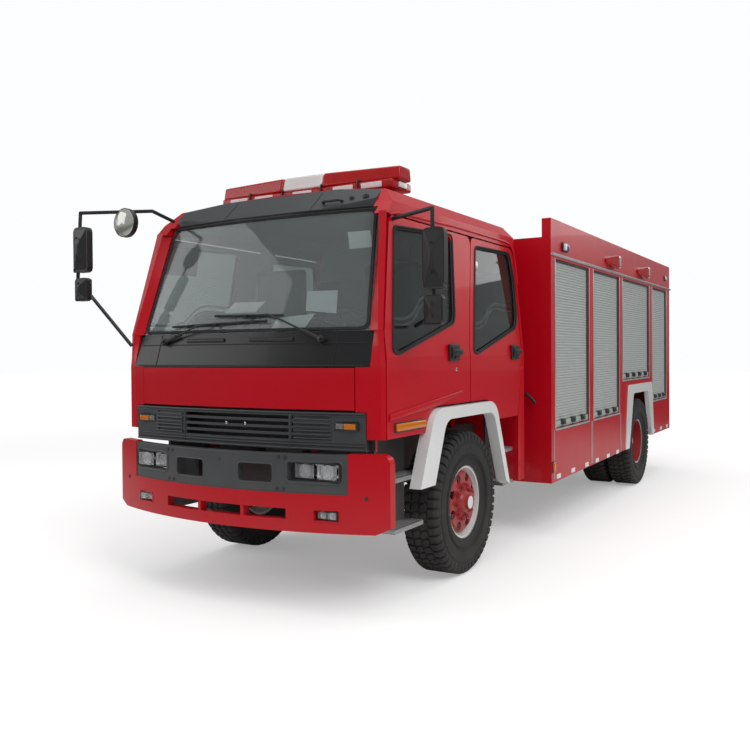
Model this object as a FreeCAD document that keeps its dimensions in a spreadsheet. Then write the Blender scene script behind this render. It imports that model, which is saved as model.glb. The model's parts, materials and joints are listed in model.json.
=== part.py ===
import FreeCAD, Part
import math
import os

import Sketcher
from FreeCAD import Placement, Rotation, Vector

# Fire engine with a crew cab, millimetres. +X is the vehicle's left, the front faces -Y, the ground is Z = 0.
# Stations called "back" are distances behind the front axle.

doc = FreeCAD.newDocument("fire_engine")
sheet = doc.addObject("Spreadsheet::Sheet", "dims")


class Size:
    """A length that carries its number and the sheet expression that it comes from."""

    def __init__(self, value, text):
        self.value = value
        self.text = text

    def __add__(self, other):
        other = size_of(other)
        return Size(self.value + other.value, f"({self.text} + {other.text})")

    def __sub__(self, other):
        other = size_of(other)
        return Size(self.value - other.value, f"({self.text} - {other.text})")

    def __mul__(self, factor):
        return Size(self.value * factor, f"({self.text} * {factor})")

    def __neg__(self):
        return Size(-self.value, f"(0 - {self.text})")

    __radd__ = __add__

    def __rsub__(self, other):
        return size_of(other) - self


def size_of(thing):
    return thing if isinstance(thing, Size) else Size(float(thing), str(float(thing)))


class Dimensions:
    """The sheet's cells by name."""


dims = Dimensions()
sheet_rows = 0


def set_sizes(**named):
    """Write a group of named sizes into the sheet and keep each as dims.name."""
    global sheet_rows
    for name, value in named.items():
        sheet_rows += 1
        sheet.set(f"A{sheet_rows}", str(value))
        sheet.setAlias(f"A{sheet_rows}", name)
        setattr(dims, name, Size(float(value), "dims." + name))


# The whole vehicle
set_sizes(front_axle_y=-2492, wheelbase=4720, cab_half_width=1092, body_half_width=1239,
          body_start=1407, body_length=5009, rail_front=-1250, rail_rear=6330)
# Running gaps
set_sizes(door_gap=11, moving_gap=8, fit_gap=0.05, seat_gap=0.3)
# Door hinge leaves and lid lugs
set_sizes(leaf_height=90, leaf_length=50, leaf_lap=8, leaf_inset=14, front_leaf_depth=22, rear_leaf_depth=60,
          front_leaf_low=1220, rear_leaf_low=1290, front_leaf_spacing=180, rear_leaf_spacing=170,
          lug_x=610, lug_width=30, lug_height=35, lug_drop=15)
# Wheels and axles
set_sizes(tyre_radius=523.5, tyre_width=280, tread_half=102, bead_radius=262, rim_half=105,
          flange_radius=306, flange_width=10, rim_wall=11.5, front_tyre_face=1085, rear_tyre_face=1220,
          twin_spacing=320, disc_thickness=14, hub_radius=95, hand_hole_radius=34, hand_hole_circle=185,
          front_disc_inset=45, hub_cap_radius=52, hub_cap_length=22, spindle_radius=38,
          kingpin_x=760, kingpin_radius=25, eye_radius=52, eye_half_height=60, ear_thickness=26,
          ear_gap=7, knuckle_plate_x=822, knuckle_plate=20, knuckle_half_width=48,
          rear_spindle_radius=45, axle_tube_radius=75, diff_radius=180, diff_half_width=140)
# Ladder frame
set_sizes(rail_inner=390, rail_outer=470, rail_bottom=720, rail_top=970, rail_wall=8,
          crossmember_depth=60, crossmember_clear=20, tow_eye_radius=60, tow_bore_radius=20.5,
          tow_thickness=40, tow_height=860, tow_reach=6400)
# Springs
set_sizes(spring_half_length=680, spring_pack=80, spring_eye=70, spring_seat_half=60, spring_seat_top=596,
          rear_spring_seat_top=604, hanger_length=60)
# Cab
set_sizes(floor_bottom=1170, floor_thickness=35, cab_rear=1130, cab_wall=40, belt_height=1600,
          tumble_angle=5.4, door_top=2505, door_bottom=1095, door_thickness=45, door_front=-1190,
          pillar_foot=1750, door_front_top=-1000, centre_seam=28, centre_seam_foot=1690,
          centre_seam_top=228, rear_door_end=1075, rear_door_foot=985, rear_door_knee=1500,
          door_corner=60, window_corner=70, glass_thickness=6, roof_shoulder=2600, roof_edge=2700,
          roof_haunch=2745, roof_crown=2755, shoulder_x=1000, edge_x=900, haunch_x=503,
          roof_front=-800, roof_shell=30, nose=-1332, nose_bow=89, lid_half_width=900,
          cowl_half_width=1004, cowl_bottom=1541, cowl_top=1765.5, front_wall=-1200,
          front_wall_thickness=24, front_wall_bottom=1020, skin=30)
# Windshield
set_sizes(screen_bottom=1766, screen_top=2569, screen_half_low=971, screen_half_high=898,
          screen_low=-1263, screen_high=-1001, screen_bow_low=85, screen_bow_high=73, screen_glass=8)
# Grille, lid and bumper
set_sizes(grille_top=1259, grille_bottom=1020, grille_half_width=975, grille_skin=40, slat_pitch=42,
          slat_slot=24, slat_foot=1084, section_half=450, lid_bottom=1273, lid_top=1535, lid_skin=25,
          bumper_half_width=1145, bumper_nose=-1476, bumper_end=-1248, bumper_wall=60, bumper_top=1012,
          bumper_bottom=524, beam_half_width=900, beam_bottom=762, tow_slot_inner=145, tow_slot_outer=406,
          tow_slot_bottom=822, tow_slot_top=936, intake_half=500, intake_bottom=600, intake_top=665,
          intake_bar=24, bumper_corner=60, head_inner=505, head_outer=860, head_bottom=838, head_top=952,
          fog_inner=684, fog_outer=840, fog_bottom=600, fog_top=662, turn_inner=765,
          turn_outer=933, turn_bottom=1147, turn_top=1201, lamp_skin=22)
# Wheel arches
set_sizes(arch_inner_x=1045.5, arch_outer_x=1130, arch_foot=740, arch_top=1250, arch_band=85,
          arch_front_foot=-830, arch_front_top=-610, arch_rear_top=430, arch_rear_foot=710,
          arch_rear_foot_height=560, arch_front_leg=210, arch_front_shoulder=170,
          arch_rear_shoulder=45, arch_rear_leg=85, arch_corner=180, arch_inner_corner=120,
          rear_arch_proud=12, rear_arch_top=1235, rear_arch_band=105, rear_arch_front_foot=3960,
          rear_arch_front_top=4100, rear_arch_rear_top=5280, rear_arch_rear_foot=5400,
          rear_arch_leg=155, rear_arch_shoulder=220, rear_arch_corner=60)


def back(distance):
    """A Y position from a distance behind the front axle."""
    return dims.front_axle_y + distance


def bind(thing, path, size):
    thing.setExpression(path, size_of(size).text)


def block(name, across, along, upward):
    """A box from its low and high sizes along X, Y and Z."""
    box = doc.addObject("Part::Box", name)
    for edge, axis, (low, high) in zip(("Length", "Width", "Height"), "xyz", (across, along, upward)):
        bind(box, edge, size_of(high) - low)
        bind(box, "Placement.Base." + axis, low)
    return box


AXIS_TURNS = {"x": Rotation(Vector(0, 1, 0), 90), "y": Rotation(Vector(1, 0, 0), -90), "z": Rotation()}


def rod(name, axis, centre, radius, low, high):
    """A cylinder along an axis from low to high; centre gives the other two coordinates in X, Y, Z order."""
    cylinder = doc.addObject("Part::Cylinder", name)
    cylinder.Placement = Placement(Vector(), AXIS_TURNS[axis])
    bind(cylinder, "Radius", radius)
    bind(cylinder, "Height", size_of(high) - low)
    places = dict(zip([letter for letter in "xyz" if letter != axis], centre))
    places[axis] = low
    for letter, place in places.items():
        bind(cylinder, "Placement.Base." + letter, place)
    return cylinder


class Via:
    """The middle point of a round stretch in an outline."""

    def __init__(self, across, upward):
        self.point = (across, upward)


def draw_loop(sketch, points):
    """Draw a closed outline whose corners are bound to sizes, with an arc wherever a Via stands."""
    corners = [point for point in points if not isinstance(point, Via)]
    vias = {}
    count = 0
    for point in points:
        if isinstance(point, Via):
            vias[count - 1] = point.point
        else:
            count += 1
    places = [Vector(size_of(u).value, size_of(v).value, 0) for u, v in corners]
    ends = []
    for index, start in enumerate(places):
        finish = places[(index + 1) % len(places)]
        if index not in vias:
            edge = sketch.addGeometry(Part.LineSegment(start, finish))
            ends.append((edge, 1, 2))
            continue
        middle = Vector(size_of(vias[index][0]).value, size_of(vias[index][1]).value, 0)
        turn = (middle - start).cross(finish - middle).z
        if turn > 0:
            edge = sketch.addGeometry(Part.Arc(start, middle, finish))
            ends.append((edge, 1, 2))
        else:
            edge = sketch.addGeometry(Part.Arc(finish, middle, start))
            ends.append((edge, 2, 1))
        mark = sketch.addGeometry(Part.Point(middle), True)
        pin_point(sketch, mark, 1, vias[index])
        sketch.addConstraint(Sketcher.Constraint("PointOnObject", mark, 1, edge))
    for index, (edge, first, last) in enumerate(ends):
        following, next_first, _ = ends[(index + 1) % len(ends)]
        sketch.addConstraint(Sketcher.Constraint("Coincident", edge, last, following, next_first))
        pin_point(sketch, edge, first, corners[index])


def pin_point(sketch, edge, end, place):
    """Bind a sketch point's two coordinates to sizes."""
    for kind, size in zip(("DistanceX", "DistanceY"), place):
        size = size_of(size)
        constraint = Sketcher.Constraint(kind, -1, 1, edge, end, size.value)
        index = sketch.addConstraint(constraint)
        sketch.setExpression(f"Constraints[{index}]", size.text)


PLANES = {"front": ("XZ_Plane", -1), "side": ("YZ_Plane", 1), "top": ("XY_Plane", 1)}


def place_sketch(body, view, offset, loops):
    """A sketch on one of the body's origin planes, moved along the plane's axis."""
    role, _ = PLANES[view]
    sketch = body.newObject("Sketcher::SketchObject", body.Name + "_sketch")
    plane = [feature for feature in body.Origin.OriginFeatures if feature.Role == role][0]
    sketch.AttachmentSupport = [(plane, "")]
    sketch.MapMode = "FlatFace"
    bind(sketch, "AttachmentOffset.Base.z", offset)
    for loop in loops:
        draw_loop(sketch, loop)
    return sketch


def outline(name, view, near, far, points, holes=(), rounds=()):
    """A padded outline seen from the front (x, z), side (y, z) or top (x, y), with holes and rounded corners."""
    near, far = size_of(near), size_of(far)
    body = doc.addObject("PartDesign::Body", name)
    offset = -far if PLANES[view][1] < 0 else near
    sketch = place_sketch(body, view, offset, (points, *holes))
    pad = body.newObject("PartDesign::Pad", name + "_pad")
    pad.Profile = sketch
    bind(pad, "Length", far - near)
    doc.recompute()
    for radius, corners in rounds:
        round_corners(body, view, radius, corners)
    return body


VIEW_AXES = {"front": (0, 2, 1), "side": (1, 2, 0), "top": (0, 1, 2)}


def round_corners(body, view, radius, corners):
    """Fillet the pad's edges that stand on the given outline corners."""
    first, second, depth = VIEW_AXES[view]
    names = []
    base = body.Tip
    for index, edge in enumerate(base.Shape.Edges):
        if len(edge.Vertexes) < 2:
            continue
        start, finish = edge.Vertexes[0].Point, edge.Vertexes[-1].Point
        if abs(start[depth] - finish[depth]) < 1:
            continue
        for u, v in corners:
            u, v = size_of(u).value, size_of(v).value
            if math.dist((start[first], start[second]), (u, v)) < 0.1:
                names.append(f"Edge{index + 1}")
    fillet = body.newObject("PartDesign::Fillet", body.Name + "_fillet")
    fillet.Base = (base, names)
    bind(fillet, "Radius", radius)
    body.Tip = fillet
    doc.recompute()


def lofted(name, low, low_points, high, high_points):
    """A straight-sided solid between two plan outlines at two heights."""
    body = doc.addObject("PartDesign::Body", name)
    bottom = place_sketch(body, "top", low, [low_points])
    top = place_sketch(body, "top", high, [high_points])
    loft = body.newObject("PartDesign::AdditiveLoft", name + "_loft")
    loft.Profile = bottom
    loft.Sections = [top]
    loft.Ruled = True
    doc.recompute()
    return body


def bowed(half_width, nose, bow, skin):
    """A plan outline that bows forward: nose at the middle, bow further back at the two ends."""
    return [(-half_width, nose + bow), Via(0, nose), (half_width, nose + bow),
            (half_width, nose + bow + skin), Via(0, nose + skin), (-half_width, nose + bow + skin)]


def turned(name, profile, along, upward):
    """A ring or disc turned about an X axis; profile points are (x, radius)."""
    body = doc.addObject("PartDesign::Body", name)
    sketch = place_sketch(body, "top", 0, [profile])
    turn = body.newObject("PartDesign::Revolution", name + "_turn")
    turn.Profile = sketch
    axis = [feature for feature in body.Origin.OriginFeatures if feature.Role == "X_Axis"][0]
    turn.ReferenceAxis = (axis, [""])
    turn.Angle = 360
    bind(body, "Placement.Base.y", along)
    bind(body, "Placement.Base.z", upward)
    return body


def joined(name, shapes):
    fused = doc.addObject("Part::MultiFuse", name)
    fused.Shapes = shapes
    fused.Refine = True
    return fused


def cut_away(name, base, tools):
    cut = doc.addObject("Part::Cut", name)
    cut.Base = base
    cut.Tool = tools[0] if len(tools) == 1 else grouped(name + "_tools", tools)
    return cut


def shared(name, shapes):
    common = doc.addObject("Part::MultiCommon", name)
    common.Shapes = shapes
    return common


def grouped(name, shapes):
    group = doc.addObject("Part::Compound", name)
    group.Links = shapes
    return group


def mirrored(name, source):
    mirror = doc.addObject("Part::Mirroring", name)
    mirror.Source = source
    mirror.Normal = Vector(1, 0, 0)
    return mirror


def both_sides(name, source):
    return grouped(name, [source, mirrored(name + "_other", source)])


nodes = {}


def node(name, shape):
    """Name a finished sub-part; its label is its file's name."""
    shape.Label = name
    nodes[name] = shape


wheel_y = dims.front_axle_y
rear_wheel_y = back(dims.wheelbase)
axle_z = dims.tyre_radius


def leaning(body):
    """Lean an upper side panel inwards about the belt line, as the cab's upper half leans."""
    belt = Vector(dims.cab_half_width.value, 0, dims.belt_height.value)
    body.Placement = Placement(Vector(), Rotation(Vector(0, 1, 0), -dims.tumble_angle.value), belt)
    return body


# Ladder frame: two channels, crossmembers between them and the rear towing eye

crossmember_places = (-1180, 900, 1900, 2900, 3900, 5200, 6250)
set_sizes(tow_root=6310, tool_reach=10)


def make_frame():
    inner, outer = dims.rail_inner, dims.rail_outer
    low, high, wall = dims.rail_bottom, dims.rail_top, dims.rail_wall
    channel = [(inner, low), (outer, low), (outer, high), (inner, high), (inner, high - wall),
               (outer - wall, high - wall), (outer - wall, low + wall), (inner, low + wall)]
    rail = outline("rail", "front", back(dims.rail_front), back(dims.rail_rear), channel)
    pieces = [rail, mirrored("rail_right", rail)]
    for index, station in enumerate(crossmember_places):
        reach = outer - wall
        start = back(station)
        pieces.append(block(f"crossmember_{index}", (-reach, reach), (start, start + dims.crossmember_depth),
                            (low + dims.crossmember_clear, high - dims.crossmember_clear)))
    half = dims.tow_thickness * 0.5
    centre = back(dims.tow_reach)
    eye = rod("tow_eye", "z", (0, centre), dims.tow_eye_radius, dims.tow_height - half, dims.tow_height + half)
    tongue = block("tow_tongue", (-dims.tow_eye_radius, dims.tow_eye_radius), (back(dims.tow_root), centre),
                   (dims.tow_height - half, dims.tow_height + half))
    bore = rod("tow_bore", "z", (0, centre), dims.tow_bore_radius, dims.tow_height - half - dims.tool_reach,
               dims.tow_height + half + dims.tool_reach)
    eyed = cut_away("tow_piece", joined("tow_solid", [eye, tongue]), [bore])
    node("chassis_frame", joined("chassis_frame", pieces + [eyed]))


# Leaf springs: a tapering pack with hangers up to the rail at both ends

def spring(name, centre, seat_top):
    half, seat = dims.spring_half_length, dims.spring_seat_half
    top = dims.rail_bottom
    profile = [(centre - half, top), (centre - half, top - dims.spring_eye), (centre - seat, seat_top),
               (centre + seat, seat_top), (centre + half, top - dims.spring_eye), (centre + half, top),
               (centre + half - dims.hanger_length, top),
               (centre + half - dims.hanger_length, top - dims.spring_eye * 0.5),
               (centre + seat, seat_top + dims.spring_pack), (centre - seat, seat_top + dims.spring_pack),
               (centre - half + dims.hanger_length, top - dims.spring_eye * 0.5),
               (centre - half + dims.hanger_length, top)]
    leaf = outline(name, "side", dims.rail_inner, dims.rail_outer, profile)
    return [leaf, mirrored(name + "_right", leaf)]


def make_springs():
    front = spring("front_spring", wheel_y, dims.spring_seat_top)
    rear = spring("rear_spring", rear_wheel_y, dims.rear_spring_seat_top)
    node("leaf_springs", grouped("leaf_springs", front + rear))


# Front axle: a dropped beam with an upright eye at each kingpin

def make_front_axle():
    eye_low, eye_high = axle_z - dims.eye_half_height, axle_z + dims.eye_half_height
    pin = dims.kingpin_x
    seat_in, seat_out = dims.rail_inner - 10, dims.rail_outer + 10
    right = [(pin, eye_low), (pin, eye_high), (seat_out + 60, eye_high), (seat_out, dims.spring_seat_top),
             (seat_in, dims.spring_seat_top), (seat_in - 40, 500), (-seat_in + 40, 500),
             (-seat_in, dims.spring_seat_top), (-seat_out, dims.spring_seat_top), (-seat_out - 60, eye_high),
             (-pin, eye_high), (-pin, eye_low), (-seat_out - 110, eye_low), (-seat_in + 40, 420),
             (seat_in - 40, 420), (seat_out + 110, eye_low)]
    beam = outline("axle_beam", "front", wheel_y - 50, wheel_y + 50, right)
    eyes, bores = [], []
    for side, place in (("left", pin), ("right", -pin)):
        eyes.append(rod("eye_" + side, "z", (place, wheel_y), dims.eye_radius, eye_low, eye_high))
        bores.append(rod("bore_" + side, "z", (place, wheel_y), dims.kingpin_radius + dims.fit_gap,
                         eye_low - 10, eye_high + 10))
    node("front_axle_beam", cut_away("front_axle_beam", joined("beam_solid", [beam] + eyes), bores))


# Steering knuckle: kingpin, two ears, an upright plate and the stub axle

def make_knuckles():
    pin, half = dims.kingpin_x, dims.eye_half_height
    gap, ear = dims.ear_gap, dims.ear_thickness
    top, bottom = axle_z + half + gap, axle_z - half - gap
    plate, width = dims.knuckle_plate_x, dims.knuckle_half_width
    pieces = [rod("kingpin", "z", (pin, wheel_y), dims.kingpin_radius, bottom - ear, top + ear)]
    for name, low, high in (("top", top, top + ear), ("bottom", bottom - ear, bottom)):
        pieces.append(rod("ear_" + name, "z", (pin, wheel_y), dims.eye_radius - 4, low, high))
        pieces.append(block("arm_" + name, (pin, plate + 1), (wheel_y - width, wheel_y + width), (low, high)))
    pieces.append(block("knuckle_plate", (plate, plate + dims.knuckle_plate),
                        (wheel_y - width, wheel_y + width), (bottom - ear, top + ear)))
    disc = dims.front_tyre_face - dims.front_disc_inset
    pieces.append(rod("stub_axle", "x", (wheel_y, axle_z), dims.spindle_radius, plate + 1, disc - 20))
    left = joined("knuckle_left", pieces)
    node("knuckle_left", left)
    node("knuckle_right", mirrored("knuckle_right", left))


# Rear axle: tube, final drive housing, spring seats and the wheel spindles

def make_rear_axle():
    reach = dims.rear_tyre_face - dims.twin_spacing - dims.tyre_width + 20
    tube = rod("axle_tube", "x", (rear_wheel_y, axle_z), dims.axle_tube_radius, -reach, reach)
    housing = rod("final_drive", "x", (rear_wheel_y, axle_z), dims.diff_radius, -dims.diff_half_width,
                  dims.diff_half_width)
    end = dims.rear_tyre_face - 130
    spindle = rod("rear_spindle", "x", (rear_wheel_y, axle_z), dims.rear_spindle_radius, -end, end)
    pieces = [tube, housing, spindle]
    for side, low, high in (("left", dims.rail_inner, dims.rail_outer),
                            ("right", -dims.rail_outer, -dims.rail_inner)):
        pieces.append(block("rear_seat_" + side, (low, high),
                            (rear_wheel_y - dims.spring_seat_half, rear_wheel_y + dims.spring_seat_half),
                            (axle_z + 40, dims.rear_spring_seat_top)))
    node("rear_axle", joined("rear_axle", pieces))


# Tyres: one closed ring each, with bead seats that clear the rim

def tyre(name, outer_face, along):
    middle = outer_face - dims.tyre_width * 0.5
    seat = dims.rim_half - dims.flange_width - dims.seat_gap
    bead, flange, radius = dims.bead_radius, dims.flange_radius, dims.tyre_radius
    half, tread = dims.tyre_width * 0.5, dims.tread_half
    side = [(seat, bead), (seat, flange + 2), (half - 14, flange + 24), (half, radius - 120),
            (half - 6, radius - 52), (tread + 18, radius - 9), (tread, radius)]
    profile = [(middle + x, r) for x, r in side] + [(middle - x, r) for x, r in reversed(side)]
    return turned(name, profile, along, axle_z)


def rim_profile(middle):
    """The barrel and flanges of one rim, as the outer edge of its section."""
    half, width = dims.rim_half, dims.flange_width
    seat, flange = dims.bead_radius - dims.seat_gap, dims.flange_radius
    return [(middle + half, flange), (middle + half - width, flange), (middle + half - width, seat),
            (middle - half + width, seat), (middle - half + width, flange), (middle - half, flange)]


def hand_holes(name, along, low, high, count):
    """Round holes on a circle through a wheel disc."""
    tools = []
    for index in range(count):
        angle = 2 * math.pi * (index + 0.5) / count
        centre = (along + dims.hand_hole_circle * math.cos(angle), axle_z + dims.hand_hole_circle * math.sin(angle))
        tools.append(rod(f"{name}_{index}", "x", centre, dims.hand_hole_radius, low, high))
    return tools


def make_front_wheels():
    left_tyre = tyre("front_tyre_left", dims.front_tyre_face, wheel_y)
    middle = dims.front_tyre_face - dims.tyre_width * 0.5
    inside = dims.bead_radius - dims.seat_gap - dims.rim_wall
    disc = dims.front_tyre_face - dims.front_disc_inset
    back_face = disc - dims.disc_thickness
    hub = dims.hub_radius
    bore = dims.spindle_radius + dims.fit_gap
    hub_start = dims.knuckle_plate_x + dims.knuckle_plate + 8
    low_edge = middle - dims.rim_half
    profile = rim_profile(middle) + [(low_edge, inside), (back_face - 40, inside),
                                     (back_face, inside - 50), (back_face, hub + 4), (hub_start, hub + 4),
                                     (hub_start, bore), (disc - 18, bore), (disc - 18, 0),
                                     (disc + dims.hub_cap_length + 40, 0),
                                     (disc + dims.hub_cap_length + 40, dims.hub_cap_radius),
                                     (disc + 40, dims.hub_cap_radius + 4), (disc + 30, hub - 20),
                                     (disc, hub), (disc, inside - 44), (disc - 44, inside),
                                     (middle + dims.rim_half, inside)]
    solid = turned("front_rim_solid", profile, wheel_y, axle_z)
    rim = cut_away("front_rim_left", solid, hand_holes("front_hand_hole", wheel_y, disc - 60, disc + 10, 8))
    node("front_tyre_left", left_tyre)
    node("front_rim_left", rim)
    node("front_tyre_right", mirrored("front_tyre_right", left_tyre))
    node("front_rim_right", mirrored("front_rim_right", rim))


def make_rear_wheels():
    faces = (dims.rear_tyre_face, dims.rear_tyre_face - dims.twin_spacing)
    tyres = [tyre(name, face, rear_wheel_y) for name, face in zip(("rear_outer_tyre", "rear_inner_tyre"), faces)]
    left_tyres = grouped("rear_tyres_left", tyres)
    middles = [face - dims.tyre_width * 0.5 for face in faces]
    inside = dims.bead_radius - dims.seat_gap - dims.rim_wall
    mid = (middles[0] + middles[1]) * 0.5
    disc_high, disc_low = mid + dims.disc_thickness, mid - dims.disc_thickness
    hub, bore = dims.hub_radius + 15, dims.rear_spindle_radius + dims.fit_gap
    start = dims.rear_tyre_face - dims.twin_spacing - dims.tyre_width + 40
    end = dims.rear_tyre_face - 90
    spindle_end = dims.rear_tyre_face - 128
    outer_low, inner_high = middles[0] - dims.rim_half, middles[1] + dims.rim_half
    seat = dims.bead_radius - dims.seat_gap
    profile = rim_profile(middles[0]) + [(outer_low, seat), (inner_high, seat)] + rim_profile(middles[1])
    profile += [(middles[1] - dims.rim_half, inside), (disc_low, inside), (disc_low, hub), (start, hub),
                (start, bore), (spindle_end, bore), (spindle_end, 0), (end, 0), (end, dims.hub_cap_radius),
                (end - 30, dims.hub_radius - 10), (disc_high + 30, hub), (disc_high, hub), (disc_high, inside),
                (middles[0] + dims.rim_half, inside)]
    solid = turned("rear_rim_solid", profile, rear_wheel_y, axle_z)
    rim = cut_away("rear_rims_left", solid, hand_holes("rear_hand_hole", rear_wheel_y, disc_low - 10,
                                                       disc_high + 10, 8))
    node("rear_tyres_left", left_tyres)
    node("rear_rims_left", rim)
    node("rear_tyres_right", mirrored("rear_tyres_right", left_tyres))
    node("rear_rims_right", mirrored("rear_rims_right", rim))


# Engine: one plain block that rests on the lower flanges by two feet

set_sizes(engine_side=40, engine_front=-560, engine_rear=700, engine_bottom=640, engine_headroom=30,
          engine_foot_depth=70, engine_foot_height=34)
engine_foot_places = (-420, 520)


def make_engine():
    case = block("engine_case", (dims.engine_side - dims.rail_inner, dims.rail_inner - dims.engine_side),
                 (back(dims.engine_front), back(dims.engine_rear)),
                 (dims.engine_bottom, dims.floor_bottom - dims.engine_headroom))
    reach = dims.rail_outer - dims.rail_wall
    low = dims.rail_bottom + dims.rail_wall
    feet = [block(f"engine_foot_{index}", (-reach, reach), 
                  (back(start), back(start) + dims.engine_foot_depth), (low, low + dims.engine_foot_height))
            for index, start in enumerate(engine_foot_places)]
    node("engine_block", joined("engine_block", [case] + feet))


# Cab shell: floor, walls, pillars and roof, with open doorways and an open windshield

def roof_profile(inset, bottom):
    """The cab's cross-section above the belt, from the right foot over the crown to the left foot."""
    half = [(dims.shoulder_x + 6 - inset, bottom), (dims.shoulder_x - inset, dims.roof_shoulder - inset * 0.5),
            (dims.edge_x - inset * 0.6, dims.roof_edge - inset * 0.8), (dims.haunch_x, dims.roof_haunch - inset)]
    return [(-x, z) for x, z in half] + [(0, dims.roof_crown - inset)] + list(reversed(half))


set_sizes(visor_half=870, visor_rear=-700)


def make_cab_shell():
    half, wall = dims.cab_half_width, dims.cab_wall
    inside = half - dims.door_thickness - dims.moving_gap
    floor_top = dims.floor_bottom + dims.floor_thickness
    rear_in = back(dims.cab_rear) - wall
    rail_low = dims.door_top + dims.moving_gap
    floor = block("cab_floor", (-inside, inside), (back(dims.front_wall), rear_in + 1),
                  (dims.floor_bottom, floor_top))
    front = block("front_wall_plate", (-inside + 25, inside - 25),
                  (back(dims.front_wall), back(dims.front_wall) + dims.front_wall_thickness),
                  (dims.front_wall_bottom, dims.cowl_bottom - 1))
    outer = roof_profile(0, rail_low)
    inner = roof_profile(dims.roof_shell, rail_low)
    roof = outline("roof_panel", "front", back(dims.roof_front), rear_in + 1, outer + list(reversed(inner)))
    rear_points = [(-half, dims.floor_bottom), (-half, dims.belt_height)] + outer
    rear_points += [(half, dims.belt_height), (half, dims.floor_bottom)]
    rear = outline("rear_wall_plate", "front", rear_in, back(dims.cab_rear), rear_points)
    post_points = [(back(dims.rear_door_end) + 8, dims.belt_height), (back(dims.rear_door_end) + 8, dims.rear_door_knee),
                   (back(dims.rear_door_foot) + 8, dims.door_bottom), (back(dims.rear_door_foot) + 8, 545),
                   (back(dims.cab_rear), 545), (back(dims.cab_rear), dims.belt_height)]
    post = outline("corner_post", "side", half - dims.door_thickness, half, post_points)
    pieces = [floor, front, roof, rear] + pair(post)
    pieces += pair(centre_pillar(rail_low)) + pair(front_pillar(rail_low)) + pair(front_corner()) + pair(header_corner())
    for index, start in enumerate((-1110, 1000)):
        low, high = dims.rail_inner + 5, dims.rail_outer - 5
        mount = block(f"cab_mount_{index}", (low, high), (back(start), back(start) + 70),
                      (dims.rail_top, dims.floor_bottom + 1))
        pieces += pair(mount)
    node("cab_shell", joined("cab_shell", pieces + hinge_leaves()))


def pair(piece):
    return [piece, mirrored(piece.Name + "_right", piece)]


def hinge_leaves():
    """Leaves on the pillars that carry the doors' inner faces, and lugs that carry the front lid."""
    face = dims.cab_half_width - dims.door_thickness - dims.seat_gap
    front_start, rear_start = dims.door_front - dims.leaf_lap, dims.centre_seam + dims.leaf_inset
    leaves = (("front", front_start, dims.door_front + dims.leaf_length, dims.front_leaf_depth,
               dims.front_leaf_low, dims.front_leaf_spacing),
              ("rear", rear_start, rear_start + dims.leaf_length, dims.rear_leaf_depth,
               dims.rear_leaf_low, dims.rear_leaf_spacing))
    pieces = []
    for name, near, far, deep, lowest, spacing in leaves:
        for index in range(2):
            low = lowest + spacing * index
            pieces += pair(block(f"{name}_leaf_{index}", (face - deep, face), (back(near), back(far)),
                                 (low, low + dims.leaf_height)))
    outer = dims.lug_x + dims.lug_width
    bow = dims.nose_bow * (outer.value / dims.cowl_half_width.value) ** 2
    lid_back = back(dims.nose) + bow + dims.lid_skin + dims.seat_gap
    high = dims.lid_top - dims.lug_drop
    pieces += pair(block("lid_lug", (dims.lug_x, outer), (lid_back, back(dims.front_wall) + 1),
                         (high - dims.lug_height, high)))
    return pieces


def centre_pillar(top):
    foot_y, head_y = back(-50), back(150)
    foot = [(990, foot_y), (1038, foot_y), (1038, foot_y + 160), (990, foot_y + 160)]
    head = [(905, head_y), (953, head_y), (953, head_y + 140), (905, head_y + 140)]
    lower = lofted("centre_pillar", dims.floor_bottom + 10, foot, top + 20, head)
    return lower


def front_pillar(top):
    """The windshield pillar, from the corner panel up to the roof rail."""
    seam_low, seam_high = back(dims.door_front) - 10, back(dims.door_front_top) - 10
    low_glass, high_glass = dims.screen_half_low + 0.5, dims.screen_half_high + 13
    low_y, high_y = back(dims.screen_low + dims.screen_bow_low), back(dims.screen_high + dims.screen_bow_high)
    foot = [(low_glass, low_y - 8), (1045, seam_low - 14), (1076, seam_low - 4), (1024, seam_low), (1024, low_y + 48),
            (985, low_y + 48)]
    head = [(high_glass, high_y - 22), (940, seam_high - 8), (998, seam_high - 6), (953, seam_high),
            (953, high_y + 26), (915, high_y + 26)]
    return lofted("front_pillar", dims.screen_bottom, foot, top + 15, head)


def front_corner():
    """The red corner between the front panels and the front door."""
    seam = back(dims.door_front) - 8
    front = back(dims.nose + dims.nose_bow)
    foot = [(906, front - 14), (1000, front), (1070, front + 21), (1090, seam), (1030, seam), (1030, seam + 22),
            (906, seam + 22)]
    lower = outline("corner_lower", "top", dims.door_bottom, dims.cowl_bottom - 1, foot)
    grille_space = block("grille_space", (850, dims.grille_half_width + 5), (front - 50, seam - 10),
                         (1000, dims.grille_top + 3))
    foot_high = [(1005, front), (1070, front + 21), (1090, seam), (1024, seam), (1024, seam + 60), (1005, seam + 60)]
    head_high = [(1005, seam + 8), (1045, seam - 14), (1076, seam - 2), (1024, seam - 2), (1024, seam + 60),
                 (1005, seam + 60)]
    upper = lofted("corner_upper", dims.cowl_bottom - 1, foot_high, dims.screen_bottom, head_high)
    return joined("front_corner", [cut_away("corner_notched", lower, [grille_space]), upper])


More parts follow.
